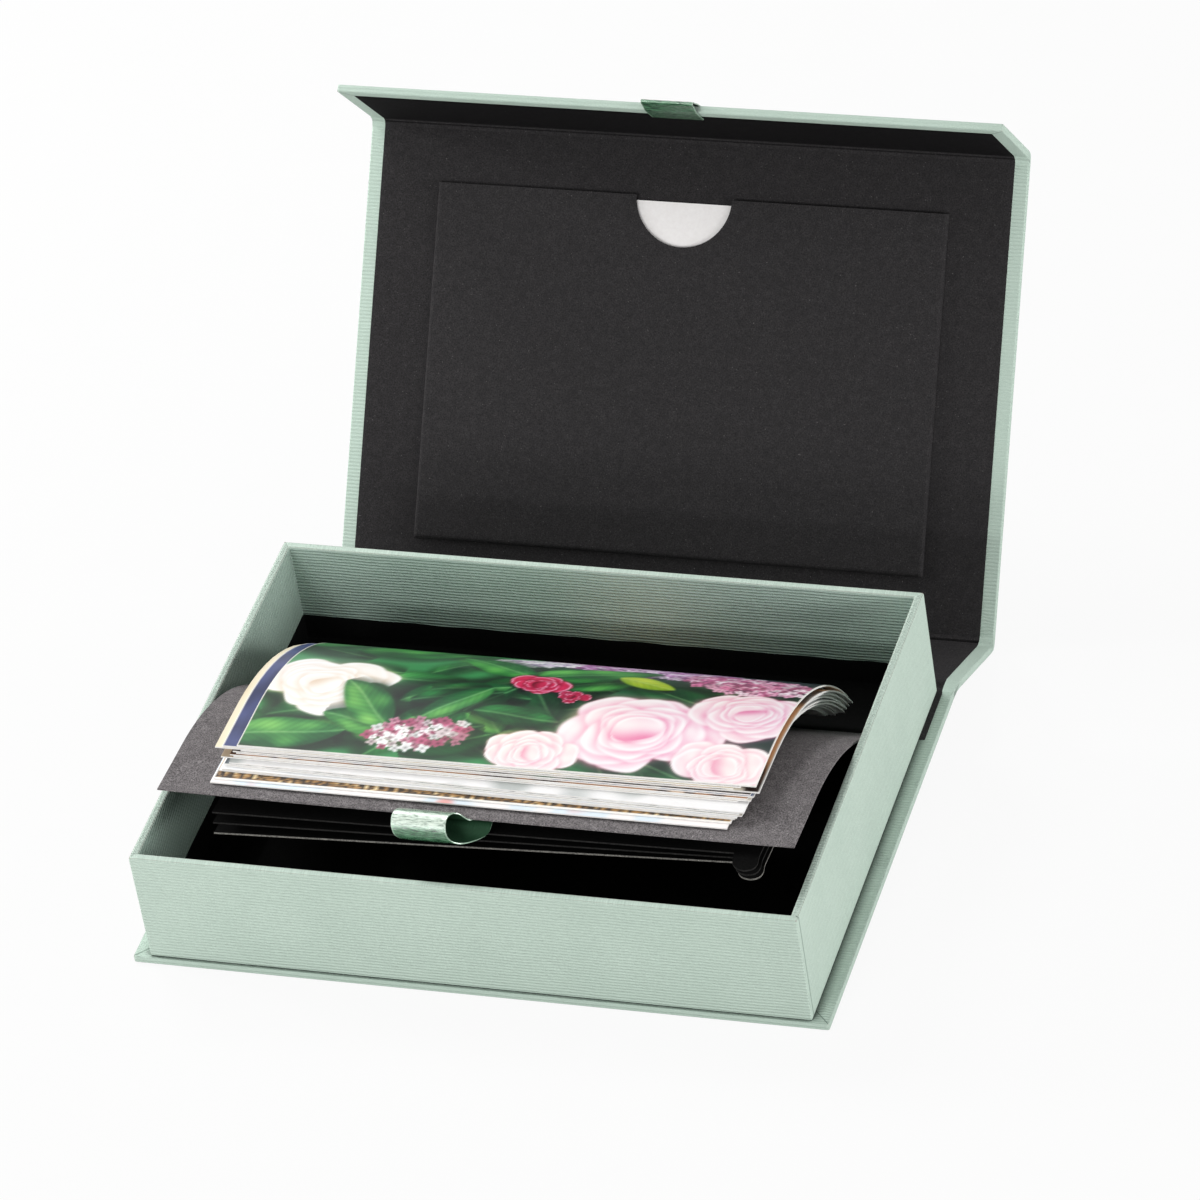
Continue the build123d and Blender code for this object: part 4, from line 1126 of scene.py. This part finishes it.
def build_prints():
    """The pile of photographs, and the picture that shows on top of it."""
    x = edge_stations(5, 0.6, PRINT_WIDTH, 150)
    y = edge_stations(9, 0.35, PRINT_DEPTH, 17)
    parts = [build_print(count, x, y) for count in range(len(PILE) - 1)]
    firsts = np.cumsum([0] + [len(part[0]) for part in parts])
    faces = [[i + int(first) for i in face] for first, part in zip(firsts, parts) for face in part[1]]
    pile = make_piece(
        "photo_prints", np.concatenate([p[0] for p in parts]), faces, [PRINT, PRINT_BACK],
        sheet=np.concatenate([p[3] for p in parts]), image=np.concatenate([p[4] for p in parts]),
        face_material=np.concatenate([p[2] for p in parts]),
    )
    stand_in(pile, "photo_paper", "prints", "photo_prints")
    x, y = np.linspace(0, PRINT_WIDTH, 305), np.linspace(0, PRINT_DEPTH, 205)
    points, faces, kinds, own, image = build_print(len(PILE) - 1, x, y)
    picture = make_piece(
        "top_print", points, faces, [PRINT, PRINT_BACK], sheet=own, image=image, face_material=kinds,
    )
    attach(picture, "prints")


# ---------------------------------------------------------------- ribbons
def smooth_line(corners, per_span=7):
    """Uniform cubic B-spline of control points: each span blends four of them with the spline's cubic
    weights. The end points are repeated so that the line reaches them."""
    corners = np.asarray(corners, float)
    corners = np.concatenate([corners[:1], corners[:1], corners, corners[-1:], corners[-1:]])
    t = np.linspace(0, 1, per_span, endpoint=False)[:, None]
    weights = ((1 - t) ** 3, 3 * t**3 - 6 * t**2 + 4, -3 * t**3 + 3 * t**2 + 3 * t + 1, t**3)
    spans = [sum(w * corners[i + k] for k, w in enumerate(weights)) / 6 for i in range(len(corners) - 3)]
    return np.concatenate(spans + [corners[-1:]])


def ribbon_strip(name, plane, corners, wave, inside, body, sheen_centre=NO_SHEEN):
    """Satin ribbon: a smooth line through space, given as right, along and up on a sheet's plane, carried
    across the ribbon's width along X and thickened to both sides along the side view's normal. The
    edges ruffle by a sine of the run, which grows with the square of the distance from the middle. The
    dull back of the ribbon is on its inside, the line's left side (0) or its right (1)."""
    right, along, up = smooth_line(corners).T
    ahead, rise = np.gradient(along), np.gradient(up)
    step = np.hypot(ahead, rise)
    across = RIBBON_WIDTH / 2 * np.sin(np.linspace(-pi / 2, pi / 2, 31))
    run = np.concatenate([[0], np.cumsum(np.hypot(np.diff(along), np.diff(up)))])
    far = (np.abs(across) / (RIBBON_WIDTH / 2)) ** 2
    wave = wave * np.sin(pi * run / run[-1])[:, None]
    edges = far * np.sin(run[:, None] * 1.3 + across * 0.4)
    ruffle = wave * (edges + 0.5 * np.sin(across * 1.9 + run[:, None]))
    points, faces = closed_sheet(*(
        place(plane, right[:, None] + across, *off_line(along, up, rise / step, ahead / step, off + ruffle))
        for off in (RIBBON_SHEET / 2, -RIBBON_SHEET / 2)
    ))
    selvage = np.clip(1 - (RIBBON_WIDTH / 2 - np.abs(across)) / 0.45, 0, 1)
    # The run is counted from the middle of the ribbon's painted sheen.
    own = np.stack(np.broadcast_arrays(across, run[:, None] - sheen_centre, selvage), -1).reshape(-1, 3)
    kinds = np.zeros(len(faces), int)
    count = (len(right) - 1) * (len(across) - 1)
    kinds[count * inside:count * (inside + 1)] = 1
    strip = make_piece(
        name, points, faces, [SATIN, SATIN_BACK], sheet=np.concatenate([own, own]), face_material=kinds,
        crease=60,
    )
    stand_in(strip, "green_ribbon", body, name)
    return strip


def build_card_ribbon():
    """Pull loop on the lift-out card. Both ends are glued under the card. The ribbon comes forward, up in
    front of the card's edge, round and back under it, and drifts to the right, so the loop is askew."""
    loop = ribbon_strip("card_ribbon", CARD, [(right - 13.0, along, up) for right, along, up in (
        (6, 12, -0.2), (6, 6, -0.2), (6, 1.6, -0.2), (4.6, -0.5, -0.2), (3, -0.6, 1.6), (1.2, -1.9, 3.8),
        (0, -4.6, 4.7), (0, -7.7, 3.2), (0.4, -8.7, 0.2), (1.8, -7.8, -2.7), (4.4, -5.4, -4.3),
        (7.6, -2.8, -4.4), (10.0, -1.5, -3.4), (10.9, -1.1, -1.3), (10.7, 1.2, -0.58),
        (10.4, 5.5, -0.56), (10.4, 11, -0.56),
    )], 0.05, 0, "card", sheen_centre=LOOP_SHEEN_CENTRE)
    tuple(place(CARD, 0.0, 0.0, 0.0))
    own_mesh(loop)


def build_flap_ribbon():
    """Pull tab on the flap: the ribbon is glued inside, runs past the flap's edge, folds back on itself
    round a small bend, and is glued outside."""
    ribbon_strip("flap_ribbon", FLAP, [(2.2, along, up) for along, up in (
        (29.7, 2.62), (33, 2.62), (36.4, 2.62), (38.0, 2.45), (39.6, 2.0), (41.2, 1.6), (42.5, 1.45),
        (43.1, 0.95), (42.5, 0.45), (41.3, 0.35), (39.6, 0.2), (38.0, -0.05), (36.4, -0.24),
        (33, -0.24), (29.7, -0.24),
    )], 0.04, 1, "flap")


# ---------------------------------------------------------------- hidden pieces keep their shape
def finish_frame(nodes):
    """Materials of the CAD pieces that stay as they are."""
    kept = dict.fromkeys((
        "base_board", "spine_board", "lid_board", "flap_board", "tray_floor_board",
        "tray_front_wall", "tray_back_wall", "tray_left_wall", "tray_right_wall",
    ), GREYBOARD)
    kept.update(tray_front_plates=STEEL, flap_magnets=MAGNET, index_card=WHITE_CARD)
    for name, material in kept.items():
        mesh = nodes[name].data
        mesh.materials.clear()
        mesh.materials.append(material)


# ---------------------------------------------------------------- studio
def build_studio():
    """A white floor, a pale even sky, two lamps to the left, low panels in front and to the right, and a
    narrow strip that glints on the satin."""
    steps = np.linspace(-1.5, 1.5, 9)
    x, y = np.meshgrid(steps, steps)
    floor = make_piece(
        "studio_floor", np.stack([x, y, 0 * x - 0.00005], -1), grid_faces(9, 9),
        [studio_paper("white_background_paper")],
    )
    world = bpy.data.worlds.new("studio_sky")
    bpy.context.scene.world = world
    world.use_nodes = True
    tree = world.node_tree
    tree.nodes.clear()
    camera_ray = add(tree, "LightPath", out="Is Camera Ray")
    glossy_ray = add(tree, "LightPath", out="Is Glossy Ray")
    through_ray = add(tree, "LightPath", out="Is Transmission Ray")
    seen = add(tree, "Math", {0: camera_ray, 1: glossy_ray}, operation="MAXIMUM")
    seen = add(tree, "Math", {0: seen, 1: through_ray}, operation="MAXIMUM")
    sky = add(tree, "Background", {"Color": linear("#FFFFFF"), "Strength": 0.37})
    white = add(tree, "Background", {"Color": linear("#FFFFFF"), "Strength": 1.0})
    both = add(tree, "MixShader", {0: seen, 1: sky, 2: white})
    add(tree, "OutputWorld", {"Surface": both})
    lamp("key_softbox", (-1.08, 0.08, 0.50), (0.22, 0.22), 7.2)
    lamp("high_left_softbox", (-0.62, 0.46, 0.90), (0.40, 0.40), 7.2)
    lamp("front_panel", (-0.34, -1.04, 0.20), (0.8, 0.18), 3.4)
    lamp("glint_strip", (-0.32, -1.02, 0.42), (0.30, 0.05), 2.2)
    lamp("right_panel", (1.05, -0.18, 0.21), (0.9, 0.16), 7.4)


def lamp(name, position, size, power):
    """A rectangular softbox that faces the box."""
    data = bpy.data.lights.new(name, "AREA")
    data.shape = "RECTANGLE"
    data.size, data.size_y = size
    data.energy = power
    made = bpy.data.objects.new(name, data)
    made.location = position
    facing = Vector((0.0, 0.0, 0.04)) - Vector(position)
    made.rotation_euler = facing.to_track_quat("-Z", "Y").to_euler()
    bpy.context.scene.collection.objects.link(made)


def build_camera():
    """Camera on a long lens, in the tray's own frame: its place in millimetres, and the ways that the
    picture's right and its upper edge point."""
    origin, y_way, z_way = TRAY
    ways = np.stack([np.array([1.0, 0.0, 0.0]), y_way, z_way])
    spot = origin + np.array([620.15, -1366.89, 1328.63]) @ ways
    right = np.array([0.95155, 0.2774, -0.13269]) @ ways
    upper = -np.array([0.07739, -0.63364, -0.76975]) @ ways
    away = np.cross(right, upper)
    data = bpy.data.cameras.new("camera")
    data.lens = 214.14
    data.sensor_width = 36.0
    data.clip_start, data.clip_end = 0.1, 20.0
    made = bpy.data.objects.new("camera", data)
    matrix = Matrix.Identity(4)
    for column, way in enumerate((right, upper, away)):
        for row in range(3):
            matrix[row][column] = way[row]
    matrix.translation = Vector(spot * MM)
    made.matrix_world = matrix
    bpy.context.scene.collection.objects.link(made)
    bpy.context.scene.camera = made


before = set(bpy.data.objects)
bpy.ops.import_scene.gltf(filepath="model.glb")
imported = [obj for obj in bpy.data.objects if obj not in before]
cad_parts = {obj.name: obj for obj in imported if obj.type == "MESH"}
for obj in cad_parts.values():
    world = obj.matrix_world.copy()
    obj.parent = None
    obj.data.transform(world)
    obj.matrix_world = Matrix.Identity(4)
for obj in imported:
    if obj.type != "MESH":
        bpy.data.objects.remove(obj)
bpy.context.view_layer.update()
build_camera()
build_studio()
finish_frame(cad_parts)
build_case()
build_folds()
build_tray_wrap()
build_tray_liner()
build_pocket()
build_lift_out_card()
build_dividers()
build_prints()
build_card_ribbon()
build_flap_ribbon()
bpy.context.scene.view_settings.view_transform = "Standard"
